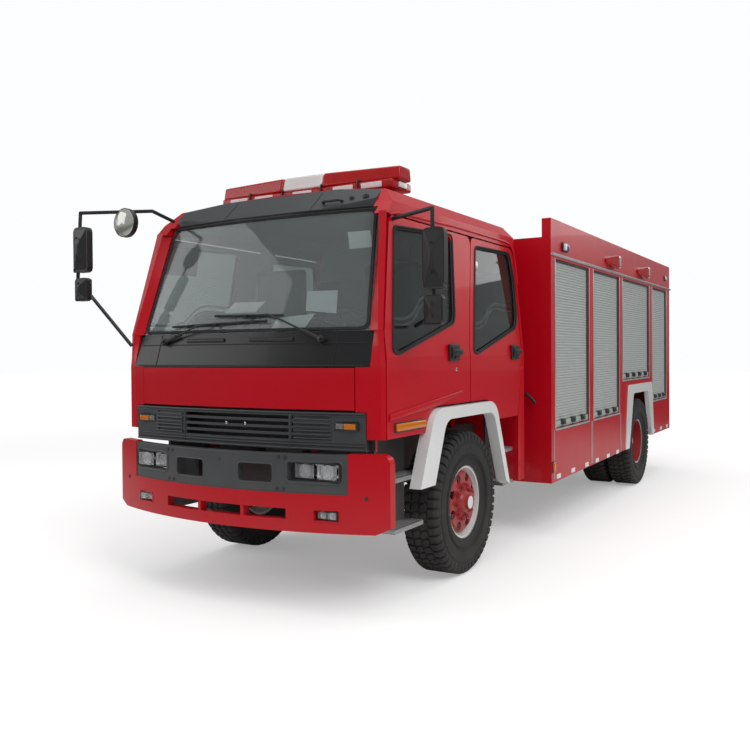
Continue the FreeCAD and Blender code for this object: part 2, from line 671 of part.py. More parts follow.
def header_corner():
    """The roof's red front corner beside the visor."""
    rail_low = dims.door_top + dims.moving_gap
    front = back(dims.door_front_top)
    wedge = outline("header_wedge", "side", dims.visor_half + 1, dims.shoulder_x + 6,
                    [(front - 22, rail_low), (front + 60, dims.roof_shoulder), (back(dims.roof_front), 2770),
                     (back(dims.roof_front), rail_low)])
    section = outline("header_section", "front", front - 20, back(dims.roof_front) + 30,
                      roof_profile(0, rail_low - 20))
    screen_space = block("screen_space", (860, dims.screen_half_high + 9), (front - 20, back(-905)),
                         (rail_low - 10, dims.screen_top))
    return cut_away("header_corner", shared("header_shared", [wedge, section]), [screen_space])


# Windshield and its dark surround: the cowl strip below and the visor panel above

def make_windshield():
    low = bowed(dims.screen_half_low, back(dims.screen_low), dims.screen_bow_low, dims.screen_glass)
    high = bowed(dims.screen_half_high, back(dims.screen_high), dims.screen_bow_high, dims.screen_glass)
    node("windshield", lofted("windshield", dims.screen_bottom, low, dims.screen_top, high))
    cowl_low = bowed(dims.cowl_half_width, back(dims.nose), dims.nose_bow, dims.skin)
    cowl_high = bowed(dims.cowl_half_width, back(dims.screen_low), dims.screen_bow_low + 6, dims.skin)
    cowl = lofted("cowl_strip", dims.cowl_bottom, cowl_low, dims.cowl_top, cowl_high)
    wedge = outline("visor_wedge", "side", -dims.visor_half, dims.visor_half,
                    [(back(dims.screen_high), dims.screen_top + 0.5), (back(dims.roof_front) - 0.5, dims.roof_crown - 8),
                     (back(dims.roof_front) - 0.5, dims.roof_crown - 50), (back(-915), dims.screen_top + 0.5)])
    section = outline("visor_section", "front", back(-1100), back(dims.roof_front), roof_profile(0, 2500))
    plan = outline("visor_plan", "top", 2500, 2800,
                   [(-dims.visor_half, back(dims.screen_high) + dims.screen_bow_high), Via(0, back(dims.screen_high)),
                    (dims.visor_half, back(dims.screen_high) + dims.screen_bow_high),
                    (dims.visor_half, back(dims.visor_rear)), (-dims.visor_half, back(dims.visor_rear))])
    visor = shared("visor_panel", [wedge, section, plan])
    node("windshield_surround", grouped("windshield_surround", [cowl, visor]))


# Front lid, grille and bumper, all bowed in plan

def make_front_panels():
    def bow_at(half_width):
        return dims.nose_bow * (half_width.value / dims.cowl_half_width.value) ** 2
    lid_bow = bow_at(dims.lid_half_width)
    lid = outline("front_lid", "top", dims.lid_bottom, dims.lid_top,
                  bowed(dims.lid_half_width, back(dims.nose), lid_bow, dims.lid_skin))
    node("front_lid", lid)
    grille_bow = bow_at(dims.grille_half_width)
    slab = outline("grille_slab", "top", dims.grille_bottom, dims.grille_top,
                   bowed(dims.grille_half_width, back(dims.nose), grille_bow, dims.grille_skin))
    slots = []
    half = dims.section_half
    spans = ((-half + 12, half - 12), (half + 12, dims.turn_inner - 30), (-dims.turn_inner + 30, -half - 12))
    for row in range(4):
        low = dims.slat_foot + dims.slat_pitch * row
        for column, (start, finish) in enumerate(spans):
            slots.append(block(f"grille_slot_{row}_{column}", (start, finish), (back(-1400), back(-1150)),
                               (low, low + dims.slat_slot)))
    lamp_low, lamp_high = dims.turn_bottom, dims.turn_top
    for side, (start, finish) in (("left", (dims.turn_inner, dims.turn_outer)),
                                  ("right", (-dims.turn_outer, -dims.turn_inner))):
        slots.append(block("turn_space_" + side, (start, finish), (back(-1400), back(-1150)), (lamp_low, lamp_high)))
    node("grille", cut_away("grille", slab, slots))
    turn_slab = outline("turn_slab", "top", dims.turn_bottom + 0.5, dims.turn_top - 0.5,
                        bowed(dims.grille_half_width, back(dims.nose), grille_bow, dims.lamp_skin))
    turn_box = block("turn_box", (dims.turn_inner + 0.5, dims.turn_outer - 0.5), (back(-1400), back(-1150)),
                     (lamp_low, lamp_high))
    turn = shared("turn_lamp", [turn_slab, turn_box])
    return turn


def make_bumper():
    """The dark beam above and the red cover that wraps its ends and carries the intake."""
    bow = dims.bumper_end - dims.bumper_nose
    plan = bowed(dims.bumper_half_width, back(dims.bumper_nose), bow, dims.bumper_wall)
    slab = outline("bumper_slab", "top", dims.bumper_bottom, dims.bumper_top, plan)
    deep = (back(-1600), back(-1150))
    face = outline("bumper_face", "front", back(-1600), back(-1100),
                   [(-dims.bumper_half_width, dims.bumper_bottom + 40), (-1060, dims.bumper_bottom),
                    (1060, dims.bumper_bottom), (dims.bumper_half_width, dims.bumper_bottom + 40),
                    (dims.bumper_half_width, dims.bumper_top), (-dims.bumper_half_width, dims.bumper_top)],
                   rounds=[(dims.bumper_corner, [(dims.bumper_half_width, dims.bumper_top),
                                                 (-dims.bumper_half_width, dims.bumper_top)])])
    shell = shared("bumper_shell", [slab, face])
    beam_space = block("beam_space", (-dims.beam_half_width, dims.beam_half_width), deep,
                       (dims.beam_bottom, dims.bumper_top + 10))
    cuts = [beam_space]
    bar = dims.intake_bar * 0.5
    third = dims.intake_half * 0.36
    for index, (start, finish) in enumerate(((-dims.intake_half, -third - bar), (-third + bar, third - bar),
                                             (third + bar, dims.intake_half))):
        cuts.append(block(f"intake_{index}", (start, finish), deep, (dims.intake_bottom, dims.intake_top)))
    for side, (start, finish) in (("left", (dims.fog_inner, dims.fog_outer)),
                                  ("right", (-dims.fog_outer, -dims.fog_inner))):
        cuts.append(block("fog_space_" + side, (start, finish), deep, (dims.fog_bottom, dims.fog_top)))
    node("bumper_cover", cut_away("bumper_cover", shell, cuts))
    beam_slab = outline("beam_slab", "top", dims.beam_bottom, dims.bumper_top - 7,
                        bowed(dims.bumper_half_width, back(dims.bumper_nose) + 4, bow, dims.bumper_wall - 4))
    beam_box = block("beam_box", (-dims.beam_half_width, dims.beam_half_width), deep, (700, 1100))
    bracket = block("beam_bracket", (dims.rail_inner, dims.rail_outer), (back(-1420), back(dims.rail_front)),
                    (790, 930))
    bar = shared("beam_bar", [beam_slab, beam_box])
    openings = []
    for side, sign in (("left", 1), ("right", -1)):
        for name, near, far, low, high in (("tow_slot", dims.tow_slot_inner, dims.tow_slot_outer,
                                            dims.tow_slot_bottom, dims.tow_slot_top),
                                           ("head_space", dims.head_inner, dims.head_outer,
                                            dims.head_bottom, dims.head_top)):
            ends = (near, far) if sign > 0 else (-far, -near)
            if name == "tow_slot":
                openings.append(outline(f"{name}_{side}", "front", deep[0], deep[1], rectangle(ends, (low, high)),
                                        rounds=[(22, rectangle(ends, (low, high)))]))
            else:
                openings.append(block(f"{name}_{side}", ends, deep, (low, high)))
    node("bumper_beam", joined("bumper_beam", [cut_away("beam_cut", bar, openings)] + pair(bracket)))
    lamps = [lamp_piece("head", dims.head_inner, dims.head_outer, dims.head_bottom, dims.head_top, bow, 30),
             lamp_piece("fog", dims.fog_inner, dims.fog_outer, dims.fog_bottom, dims.fog_top, bow, 12)]
    return lamps


def rectangle(across, upward):
    (left, right), (low, high) = across, upward
    return [(left, low), (right, low), (right, high), (left, high)]


def lamp_piece(name, near, far, low, high, bow, recess):
    """A lamp that fills its opening and lies a little behind the bumper's face."""
    slab = outline(name + "_slab", "top", low + 0.5, high - 0.5,
                   bowed(dims.bumper_half_width, back(dims.bumper_nose) + recess, bow, dims.lamp_skin))
    box = block(name + "_box", (near + 0.5, far - 0.5), (back(-1600), back(-1100)), (low, high))
    return shared(name + "_lamp", [slab, box])


set_sizes(tail_inner=860, tail_outer=1150, tail_depth=24, tail_low=700, tail_high=800)


def make_lamps(front_pieces):
    rear = back(dims.body_start + dims.body_length)
    tail = block("tail_lamp", (dims.tail_inner, dims.tail_outer), (rear, rear + dims.tail_depth),
                 (dims.tail_low, dims.tail_high))
    pieces = []
    for piece in front_pieces + [tail]:
        pieces += pair(piece)
    node("lamps", grouped("lamps", pieces))


# Doors: a straight lower half and a leaning upper half with the window cut through

def arch_edge(clearance):
    """Where the doors end above the front wheel arch."""
    return dims.arch_top + clearance


front_window = ((-1112, 1632), (-1040, 1615), (-200, 1835), (-172, 1900), (-100, 2480), (-960, 2436))
rear_window = ((100, 1632), (156, 1612), (990, 1826), (1040, 1925), (1052, 2250), (1000, 2462), (300, 2442))
front_arch_slope, rear_arch_slope = 0.431, 0.406
set_sizes(arch_margin=4, arch_shoulder=8)


def make_doors():
    gap = dims.moving_gap + dims.arch_margin
    over = arch_edge(gap)
    front_leg = dims.arch_front_top - (dims.arch_top - dims.door_bottom) * front_arch_slope - gap
    rear_leg = dims.arch_rear_top + (dims.arch_top - dims.door_bottom) * rear_arch_slope + gap
    belt, top = dims.belt_height, dims.door_top
    turned_back = [(back(station), height) for station, height in front_window]
    rear_turned = [(back(station), height) for station, height in rear_window]
    front_lower = [(back(dims.door_front), dims.door_bottom), (back(front_leg), dims.door_bottom),
                   (back(dims.arch_front_top) - dims.arch_shoulder, over), (back(dims.centre_seam), over),
                   (back(dims.centre_seam), belt), (back(dims.door_front), belt)]
    front_upper = [(back(dims.door_front), belt), (back(dims.centre_seam), belt),
                   (back(dims.centre_seam), dims.centre_seam_foot), (back(dims.centre_seam_top), top),
                   (back(dims.door_front_top), top), (back(dims.door_front), dims.pillar_foot)]
    rear_edge = dims.centre_seam + dims.door_gap
    rear_top = dims.centre_seam_top + dims.door_gap
    rear_lower = [(back(rear_edge), over), (back(dims.arch_rear_top) + dims.arch_shoulder, over), (back(rear_leg), dims.door_bottom),
                  (back(dims.rear_door_foot), dims.door_bottom), (back(dims.rear_door_end), dims.rear_door_knee),
                  (back(dims.rear_door_end), belt), (back(rear_edge), belt)]
    rear_upper = [(back(rear_edge), belt), (back(dims.rear_door_end), belt), (back(dims.rear_door_end), top),
                  (back(rear_top), top), (back(rear_edge), dims.centre_seam_foot)]
    corner = dims.arch_corner + gap
    door("front_door", front_lower, front_upper, turned_back, [(corner, [front_lower[2]])],
         [front_upper[3], front_upper[4]])
    door("rear_door", rear_lower, rear_upper, rear_turned, [(corner, [rear_lower[1]])],
         [rear_upper[2], rear_upper[3]])


def door(name, lower_points, upper_points, window, lower_rounds, upper_corners):
    outer = dims.cab_half_width
    inner = outer - dims.door_thickness
    lower = outline(name + "_lower", "side", inner, outer, lower_points, rounds=lower_rounds)
    upper = outline(name + "_upper", "side", inner, outer, upper_points, holes=[window],
                    rounds=[(dims.door_corner, upper_corners), (dims.window_corner, window[2:])])
    middle = outer - dims.door_thickness * 0.5
    half = dims.glass_thickness * 0.5
    glass = outline(name + "_pane", "side", middle - half, middle + half, window,
                    rounds=[(dims.window_corner, window[2:])])
    left = joined(name + "_left", [lower, leaning(upper)])
    pane = leaning(glass)
    node(name + "_left", left)
    node(name + "_right", mirrored(name + "_right", left))
    node(name + "_glass_left", pane)
    node(name + "_glass_right", mirrored(name + "_glass_right", pane))


# Wheel arches: a flared band round each wheel opening

def make_arches():
    near, far = dims.arch_inner_x, dims.arch_outer_x
    foot, top = dims.arch_foot, dims.arch_top
    under = top - dims.arch_band
    outer = [(back(dims.arch_front_foot), foot), (back(dims.arch_front_top), top),
             (back(dims.arch_rear_top), top), (back(dims.arch_rear_foot), dims.arch_rear_foot_height)]
    inner = [(back(dims.arch_rear_foot - dims.arch_rear_leg), dims.arch_rear_foot_height + 40),
             (back(dims.arch_rear_top - dims.arch_rear_shoulder), under),
             (back(dims.arch_front_top + dims.arch_front_shoulder), under),
             (back(dims.arch_front_foot + dims.arch_front_leg), foot)]
    front = outline("front_arch", "side", near, far, outer + inner,
                    rounds=[(dims.arch_corner, outer[1:3]), (dims.arch_inner_corner, inner[1:3])])
    rear_outer, rear_inner = rear_arch_points()
    rear = outline("rear_arch", "side", dims.body_half_width - 40, dims.body_half_width + dims.rear_arch_proud,
                   rear_outer + rear_inner,
                   rounds=[(dims.rear_arch_corner, rear_outer[1:3]), (dims.rear_arch_corner, rear_inner[1:3])])
    node("wheel_arches", grouped("wheel_arches", pair(front) + pair(rear)))


def rear_arch_points():
    top, under = dims.rear_arch_top, dims.rear_arch_top - dims.rear_arch_band
    outer = [(back(dims.rear_arch_front_foot), 500), (back(dims.rear_arch_front_top), top),
             (back(dims.rear_arch_rear_top), top), (back(dims.rear_arch_rear_foot), 550)]
    inner = [(back(dims.rear_arch_rear_foot) - dims.rear_arch_leg + 40, 550),
             (back(dims.rear_arch_rear_top) - dims.rear_arch_shoulder, under),
             (back(dims.rear_arch_front_top) + dims.rear_arch_shoulder, under),
             (back(dims.rear_arch_front_foot) + dims.rear_arch_leg, 500)]
    return outer, inner


# Steps: two treads ahead of each front wheel, two behind it, and the rear ledge

set_sizes(tread_inner=900, tread_thickness=28, hanger_plate=20, hanger_front=-1024, upper_tread_front=-1012,
          upper_tread_rear=-650, lower_tread_rear=-640, upper_tread_low=800, lower_tread_low=475,
          rear_tread_front=740, rear_tread_rear=975, rear_lower_front=760, rear_lower_low=530,
          ledge_inner=520, ledge_outer=1150, ledge_depth=44, ledge_low=600, ledge_height=45)


def make_steps():
    top = dims.floor_bottom
    inner, outer = dims.tread_inner, dims.arch_inner_x - dims.seat_gap
    hanger = (inner - dims.hanger_plate, inner)

    def tread(name, start, finish, low):
        return block("tread_" + name, (inner, outer), (back(start), back(finish)), (low, low + dims.tread_thickness))

    front_plate = block("front_hanger", hanger, (back(dims.hanger_front), back(dims.lower_tread_rear)),
                        (dims.lower_tread_low, top))
    rear_plate = block("rear_hanger", hanger, (back(dims.rear_tread_front), back(dims.rear_tread_rear)),
                       (dims.rear_lower_low, top))
    front = joined("front_steps", [
        front_plate,
        tread("front_upper", dims.upper_tread_front, dims.upper_tread_rear, dims.upper_tread_low),
        tread("front_lower", dims.hanger_front, dims.lower_tread_rear, dims.lower_tread_low)])
    rear = joined("rear_steps", [
        rear_plate,
        tread("rear_upper", dims.rear_tread_front, dims.rear_tread_rear, dims.upper_tread_low),
        tread("rear_lower", dims.rear_lower_front, dims.rear_tread_rear, dims.rear_lower_low)])
    tail = back(dims.body_start + dims.body_length)
    ledge = block("rear_ledge", (dims.ledge_inner, dims.ledge_outer), (tail, tail + dims.ledge_depth),
                  (dims.ledge_low, dims.ledge_low + dims.ledge_height))
    node("steps", grouped("steps", pair(front) + pair(rear) + pair(ledge)))


# Cab furniture: three simple soft seats, dashboard with its column, and the steering wheel

set_sizes(seat_width=500, seat_height=420, back_pad=120, back_height=700, front_seat_x=520,
          front_seat_start=-560, front_seat_depth=500, bench_half=950, bench_start=560, bench_depth=480,
          wheel_rim_radius=225, wheel_grip=16, wheel_tilt=35, wheel_station=-700, wheel_height=1790, column_length=300)


def seat(name, low_x, high_x, start, depth):
    """A cushion on a plinth with an upright back, as one L-shaped solid."""
    floor = dims.floor_bottom + dims.floor_thickness
    top = floor + dims.seat_height
    end = back(start + depth)
    points = [(back(start), floor), (end, floor), (end, top + dims.back_height), (end - dims.back_pad, top + dims.back_height),
              (end - dims.back_pad - 30, top), (back(start), top)]
    return outline(name, "side", low_x, high_x, points)


board_section = ((-1130, 1728), (-900, 1728), (-830, 1640), (-830, 1500), (-1000, 1290))
set_sizes(board_half=955, board_shoulder=1555)


def make_cab_furniture():
    half = dims.seat_width * 0.5
    driver = seat("driver_seat", dims.front_seat_x - half, dims.front_seat_x + half, dims.front_seat_start,
                  dims.front_seat_depth)
    bench = seat("rear_bench", -dims.bench_half, dims.bench_half, dims.bench_start, dims.bench_depth)
    node("seats", grouped("seats", pair(driver) + [bench]))
    wall = back(dims.front_wall) + dims.front_wall_thickness
    low, high = board_section[-1][1], dims.board_shoulder
    board_points = [(wall, low), (wall, high)] + [(back(station), height) for station, height in board_section]
    board = outline("dashboard_block", "side", -dims.board_half, dims.board_half, board_points)
    column = Part.makeCylinder(28, dims.column_length.value)
    column_piece = doc.addObject("Part::Feature", "steering_column")
    column_piece.Shape = column
    tilt = Rotation(Vector(1, 0, 0), -dims.wheel_tilt.value)
    hub = Vector(dims.front_seat_x.value, dims.front_axle_y.value + dims.wheel_station.value, dims.wheel_height.value)
    column_piece.Placement = Placement(hub + tilt.multVec(Vector(0, 0, -dims.column_length.value - 8)), tilt)
    node("dashboard", joined("dashboard", [board, column_piece]))
    ring = doc.addObject("Part::Torus", "wheel_rim")
    bind(ring, "Radius1", dims.wheel_rim_radius)
    bind(ring, "Radius2", dims.wheel_grip)
    boss = doc.addObject("Part::Cylinder", "wheel_boss")
    boss.Radius, boss.Height = 55, 40
    spokes = []
    for index in range(3):
        spoke = doc.addObject("Part::Box", f"wheel_spoke_{index}")
        spoke.Length, spoke.Width, spoke.Height = 200, 30, 12
        angle = 90 + 120 * index
        turn = tilt * Rotation(Vector(0, 0, 1), angle)
        spoke.Placement = Placement(hub + turn.multVec(Vector(20, -15, -6)), turn)
        bind(spoke, "Length", dims.wheel_rim_radius - 25)
        spokes.append(spoke)
    ring.Placement = Placement(hub, tilt)
    boss.Placement = Placement(hub + tilt.multVec(Vector(0, 0, -7)), tilt)
    node("steering_wheel", joined("steering_wheel", [ring, boss] + spokes))


# Mirrors: bent tube stays with flat heads

set_sizes(stay_radius=13, mirror_reach=1440)


def tube_route(name, points, radius):
    """A round tube along straight runs with ball-round corners."""
    shapes = []
    for start, finish in zip(points, points[1:]):
        shapes.append(Part.makeCylinder(radius, (finish - start).Length, start, finish - start))
    shapes += [Part.makeSphere(radius, point) for point in points[1:-1]]
    piece = doc.addObject("Part::Feature", name)
    piece.Shape = shapes[0].multiFuse(shapes[1:])
    return piece


def at(x, station, height):
    return Vector(x, dims.front_axle_y.value + station, height)


left_stay = ((1000, -960, 2478), (1350, -1075, 2500), (1352, -1060, 1860), (1085, -800, 1800))
right_stay = ((-880, -965, 2620), (-900, -1160, 2672), (-1405, -1380, 2672), (-1418, -1400, 2180), (-1068, -1215, 1690))


def mirror_head(name, stations, across, upward, corner):
    face = rectangle(across, upward)
    return outline(name, "front", back(stations[0]), back(stations[1]), face, rounds=[(corner, face)])


def make_mirrors():
    radius = dims.stay_radius.value
    reach = dims.mirror_reach.value
    left = tube_route("left_stay", [at(*point) for point in left_stay], radius)
    main = mirror_head("left_head", (-1098, -1048), (1290, reach), (2010, 2380), 40)
    small = mirror_head("left_small_head", (-1092, -1048), (1295, 1425), (1790, 1975), 30)
    door_space = nodes["front_door_left"]
    trimmed = cut_away("left_stay_trimmed", left, [door_space])
    node("left_mirror", joined("left_mirror", [trimmed, main, small]))
    right = tube_route("right_stay", [at(*point) for point in right_stay], radius)
    head = mirror_head("right_head", (-1420, -1370), (-reach, -1290), (2230, 2560), 40)
    lower = mirror_head("right_small_head", (-1418, -1376), (-1430, -1300), (2020, 2190), 30)
    convex = rod("right_round_head", "y", (-1080, 2590), 105, back(-1265), back(-1225))
    joined_right = joined("right_mirror_solid", [right, head, lower, convex])
    shapes = [nodes["cab_shell"], nodes["windshield_surround"], nodes["windshield"]]
    node("right_mirror", cut_away("right_mirror", joined_right, shapes))


# Roof light bar on two feet

set_sizes(bar_half=800, bar_front=-560, bar_depth=300, bar_base=2775, bar_lens=2842, bar_top=2945,
          bar_foot_near=520, bar_foot_far=640, bar_lip=30, bar_chamfer=60, bar_foot_inset=50)


def make_light_bar():
    along = (back(dims.bar_front), back(dims.bar_front + dims.bar_depth))
    base = block("bar_base", (dims.bar_lip - dims.bar_half, dims.bar_half - dims.bar_lip), along, (dims.bar_base, dims.bar_lens))
    half, cut = dims.bar_half, dims.bar_chamfer
    plan = [(-half, along[0] + cut), (cut - half, along[0]), (half - cut, along[0]), (half, along[0] + cut),
            (half, along[1] - cut), (half - cut, along[1]), (cut - half, along[1]), (-half, along[1] - cut)]
    lens = outline("bar_lens", "top", dims.bar_lens, dims.bar_top, plan)
    run = dims.edge_x - dims.haunch_x
    drop = dims.roof_haunch - dims.roof_edge
    slope = drop.value / run.value
    near_z = dims.roof_haunch - (dims.bar_foot_near - dims.haunch_x) * slope
    far_z = dims.roof_haunch - (dims.bar_foot_far - dims.haunch_x) * slope
    foot = outline("bar_foot", "front", along[0] + dims.bar_foot_inset, along[1] - dims.bar_foot_inset,
                   [(dims.bar_foot_near, near_z), (dims.bar_foot_far, far_z), (dims.bar_foot_far, dims.bar_base + 1),
                    (dims.bar_foot_near, dims.bar_base + 1)])
    node("light_bar", joined("light_bar", [base, lens] + pair(foot)))


# Body: walls, floors and dividers that meet at hairline seams, with outer side panels and roller shutters

set_sizes(side_skin=40, fascia_depth=83, fascia_bottom=2484.5, parapet_top=2797, deck_top=2634, deck_skin=40,
          wall_skin=40, bulkhead_x=560, plate=20, floor_low=905, floor_mid=1265, floor_high=950, floor_skin=40,
          divider_one=2610, divider_two=3790, divider_three=5300, shutter_top=2450, skirt_front=470,
          skirt_rear=550, shutter_x=1195, shutter_skin=20, frame_gap=2, wall_clear=30, pad_length=120)
set_sizes(bay_x=650, bay_low=1060, bay_high=2300, rear_shutter_near=30, rear_shutter_far=10)
shutters = ((1520, 2540, 945), (2700, 3700, 945), (3850, 5160, 1305), (5340, 6200, 990))


pad_places = (1900, 3900, 5200)


def make_body():
    start, end = back(dims.body_start), back(dims.body_start + dims.body_length)
    side_in = dims.body_half_width - dims.side_skin
    fascia_in = dims.body_half_width - dims.fascia_depth
    wall, plate, gap = dims.wall_skin, dims.plate, dims.seat_gap
    clear, rail_top = dims.rail_outer + dims.wall_clear, dims.rail_top + dims.frame_gap
    ceiling = dims.deck_top - dims.deck_skin
    length = (start + wall + gap, end - wall - gap)
    inner_x = dims.bulkhead_x + plate + gap

    def cross_wall(name, near, far, skirt, holes=()):
        half = [(side_in, skirt), (side_in, dims.fascia_bottom), (fascia_in, dims.fascia_bottom),
                (fascia_in, dims.deck_top)]
        inner = [(-clear, skirt), (-clear, rail_top), (clear, rail_top), (clear, skirt)]
        points = inner + half + [(-x, z) for x, z in reversed(half)]
        return outline(name, "front", near, far, points, holes=holes)

    front = cross_wall("body_front_wall", start, start + wall, dims.skirt_front)
    bay = rectangle((-dims.bay_x, dims.bay_x), (dims.bay_low, dims.bay_high))
    rear = cross_wall("body_rear_wall", end - wall, end, dims.skirt_rear, holes=[bay])
    deck = block("roof_deck", (-fascia_in, fascia_in), length, (ceiling, dims.deck_top))
    sole_x = dims.bulkhead_x - gap
    sole = [block("body_sole", (-sole_x, sole_x), length, (rail_top, rail_top + dims.floor_skin))]
    for index, station in enumerate(pad_places):
        sole += pair(block(f"body_pad_{index}", (dims.rail_inner, dims.rail_outer),
                           (back(station), back(station + dims.pad_length)), (dims.rail_top, rail_top + 1)))
    bulkhead = block("bulkhead", (dims.bulkhead_x, dims.bulkhead_x + plate), length, (rail_top, ceiling - gap))
    pieces = [front, rear, deck, joined("padded_sole", sole)] + pair(bulkhead)
    floors = ((length[0], back(dims.divider_two) - gap, dims.floor_low),
              (back(dims.divider_two) + plate + gap, back(dims.divider_three) - gap, dims.floor_mid),
              (back(dims.divider_three) + plate + gap, length[1], dims.floor_high))
    for index, (near, far, low) in enumerate(floors):
        pieces += pair(block(f"body_floor_{index}", (inner_x, side_in), (near, far), (low, low + dims.floor_skin)))
    stand = dims.floor_low + dims.floor_skin + gap
    dividers = ((dims.divider_one, stand), (dims.divider_two, dims.floor_low), (dims.divider_three, dims.floor_high))
    for index, (station, low) in enumerate(dividers):
        shape = [(inner_x, low), (side_in, low), (side_in, dims.fascia_bottom),
                 (fascia_in, dims.fascia_bottom), (fascia_in, ceiling - gap), (inner_x, ceiling - gap)]
        pieces += pair(outline(f"divider_{index}", "front", back(station), back(station) + plate, shape))
    node("body_hull", grouped("body_hull", pieces))
    make_sides(start, end, side_in, fascia_in)


def make_sides(start, end, side_in, fascia_in):
    arch_outer, _ = rear_arch_points()
    points = [(start, dims.skirt_front)] + [(arch_outer[0][0], 500)] + arch_outer[1:3] + [(arch_outer[3][0], 550)]
    points += [(end, dims.skirt_rear), (end, dims.fascia_bottom), (start, dims.fascia_bottom)]
    holes = [rectangle((back(near), back(far)), (low, dims.shutter_top)) for near, far, low in shutters]
    plate = outline("side_plate", "side", side_in, dims.body_half_width, points, holes=holes,
                    rounds=[(dims.rear_arch_corner, arch_outer[1:3])])
    fascia = block("fascia", (fascia_in, dims.body_half_width), (start, end), (dims.fascia_bottom, dims.parapet_top))
    side = joined("body_side", [plate, fascia])
    node("body_sides", both_sides("body_sides", side))
    gap = dims.seat_gap
    curtains = []
    for index, (near, far, low) in enumerate(shutters):
        curtains += pair(block(f"shutter_{index}", (dims.shutter_x, dims.shutter_x + dims.shutter_skin),
                               (back(near) + gap, back(far) - gap), (low + gap, dims.shutter_top - gap)))
    curtains.append(block("rear_shutter", (gap - dims.bay_x, dims.bay_x - gap),
                          (end - dims.rear_shutter_near, end - dims.rear_shutter_far),
                          (dims.bay_low + gap, dims.bay_high - gap)))
    node("roller_shutters", grouped("roller_shutters", curtains))


# Roof monitor: fixed riser, turning yoke and tilting barrel

set_sizes(monitor_station=5620, riser_radius=50, riser_flange=115, riser_top=3050, yoke_radius=88,
          yoke_ear_x=66, yoke_ear=16, trunnion_height=3270, trunnion_radius=15, barrel_radius=36,
          outlet_radius=45, outlet_length=80, barrel_length=620, turn_gap=0.3)


set_sizes(riser_flange_depth=20, yoke_depth=40, ear_root=30, ear_half=32, boss_radius=52, boss_gap=6, barrel_tail=90,
          waterway_radius=26, waterway_length=300)


def make_monitor():
    middle = back(dims.monitor_station)
    deck = dims.deck_top
    flange = rod("riser_flange", "z", (0, middle), dims.riser_flange, deck, deck + dims.riser_flange_depth)
    riser = rod("riser", "z", (0, middle), dims.riser_radius, deck + dims.tool_reach, dims.riser_top)
    node("monitor_base", joined("monitor_base", [flange, riser]))
    seat_z = dims.riser_top + dims.turn_gap
    disc = rod("yoke_disc", "z", (0, middle), dims.yoke_radius, seat_z, seat_z + dims.yoke_depth)
    ear_in, ear_out = dims.yoke_ear_x, dims.yoke_ear_x + dims.yoke_ear
    ear = block("yoke_ear", (ear_in, ear_out), (middle - dims.ear_half, middle + dims.ear_half),
                (seat_z + dims.ear_root, dims.trunnion_height + dims.yoke_depth))
    hole = rod("yoke_hole", "x", (middle, dims.trunnion_height), dims.trunnion_radius + dims.fit_gap, -120, 120)
    node("monitor_turret", cut_away("monitor_turret", joined("yoke_solid", [disc] + pair(ear)), [hole]))
    height = dims.trunnion_height
    pin = rod("trunnion", "x", (middle, height), dims.trunnion_radius, -ear_out - 10, ear_out + 10)
    boss = rod("barrel_boss", "x", (middle, height), dims.boss_radius, dims.boss_gap - ear_in, ear_in - dims.boss_gap)
    tube = rod("barrel_tube", "y", (0, height), dims.barrel_radius, middle - dims.barrel_length, middle + dims.barrel_tail)
    front = middle - dims.barrel_length
    outlet = rod("barrel_outlet", "y", (0, height), dims.outlet_radius, front - dims.outlet_length, front)
    bore = rod("barrel_bore", "y", (0, height), dims.waterway_radius, front - dims.outlet_length - dims.tool_reach,
               front + dims.waterway_length)
    node("monitor_barrel", cut_away("monitor_barrel", joined("barrel_solid", [pin, boss, tube, outlet]), [bore]))


make_frame()
make_springs()
make_front_axle()
make_knuckles()
make_rear_axle()
make_front_wheels()
make_rear_wheels()
make_engine()
make_cab_shell()
make_windshield()
turn_lamp = make_front_panels()
bumper_lamps = make_bumper()
make_lamps([turn_lamp] + bumper_lamps)
make_doors()
make_arches()
make_steps()
make_cab_furniture()
make_mirrors()
make_light_bar()
make_body()
make_monitor()
doc.recompute()

problems = []
for thing in doc.Objects:
    if "Invalid" in thing.State or "Error" in thing.State:
        problems.append(f"{thing.Name}: {thing.State}")
for name, thing in nodes.items():
    if thing.Shape.isNull() or not thing.Shape.isValid() or not thing.Shape.Solids:
        problems.append(f"{name}: bad shape")
if problems:
    raise RuntimeError("\n".join(problems))

os.makedirs("parts", exist_ok=True)
for name, thing in nodes.items():
    thing.Shape.exportStep(f"parts/{name}.step")
print(len(nodes), "nodes")
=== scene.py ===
import bpy
import json
import math
from mathutils import Matrix, Vector


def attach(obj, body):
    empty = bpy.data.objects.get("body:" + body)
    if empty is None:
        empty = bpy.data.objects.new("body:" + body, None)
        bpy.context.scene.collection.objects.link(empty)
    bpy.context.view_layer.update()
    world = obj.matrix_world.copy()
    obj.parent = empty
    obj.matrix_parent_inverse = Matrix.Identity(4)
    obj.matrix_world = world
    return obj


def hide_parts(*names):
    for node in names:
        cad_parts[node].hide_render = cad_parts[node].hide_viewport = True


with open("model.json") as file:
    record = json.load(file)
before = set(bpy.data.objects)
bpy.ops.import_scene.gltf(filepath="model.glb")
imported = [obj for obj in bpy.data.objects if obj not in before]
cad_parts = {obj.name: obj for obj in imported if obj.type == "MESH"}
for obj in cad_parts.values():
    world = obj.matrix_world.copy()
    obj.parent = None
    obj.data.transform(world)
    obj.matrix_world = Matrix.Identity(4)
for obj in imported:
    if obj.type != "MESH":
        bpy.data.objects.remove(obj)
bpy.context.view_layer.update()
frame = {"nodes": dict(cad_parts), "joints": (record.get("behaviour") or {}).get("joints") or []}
joints = {joint["name"]: joint for joint in frame["joints"]}
axleY = joints["steer_left"]["pos_m"][1]
axleZ = joints["steer_left"]["pos_m"][2]
rearY = joints["rear_left_spin"]["pos_m"][1]
print("frame loaded")


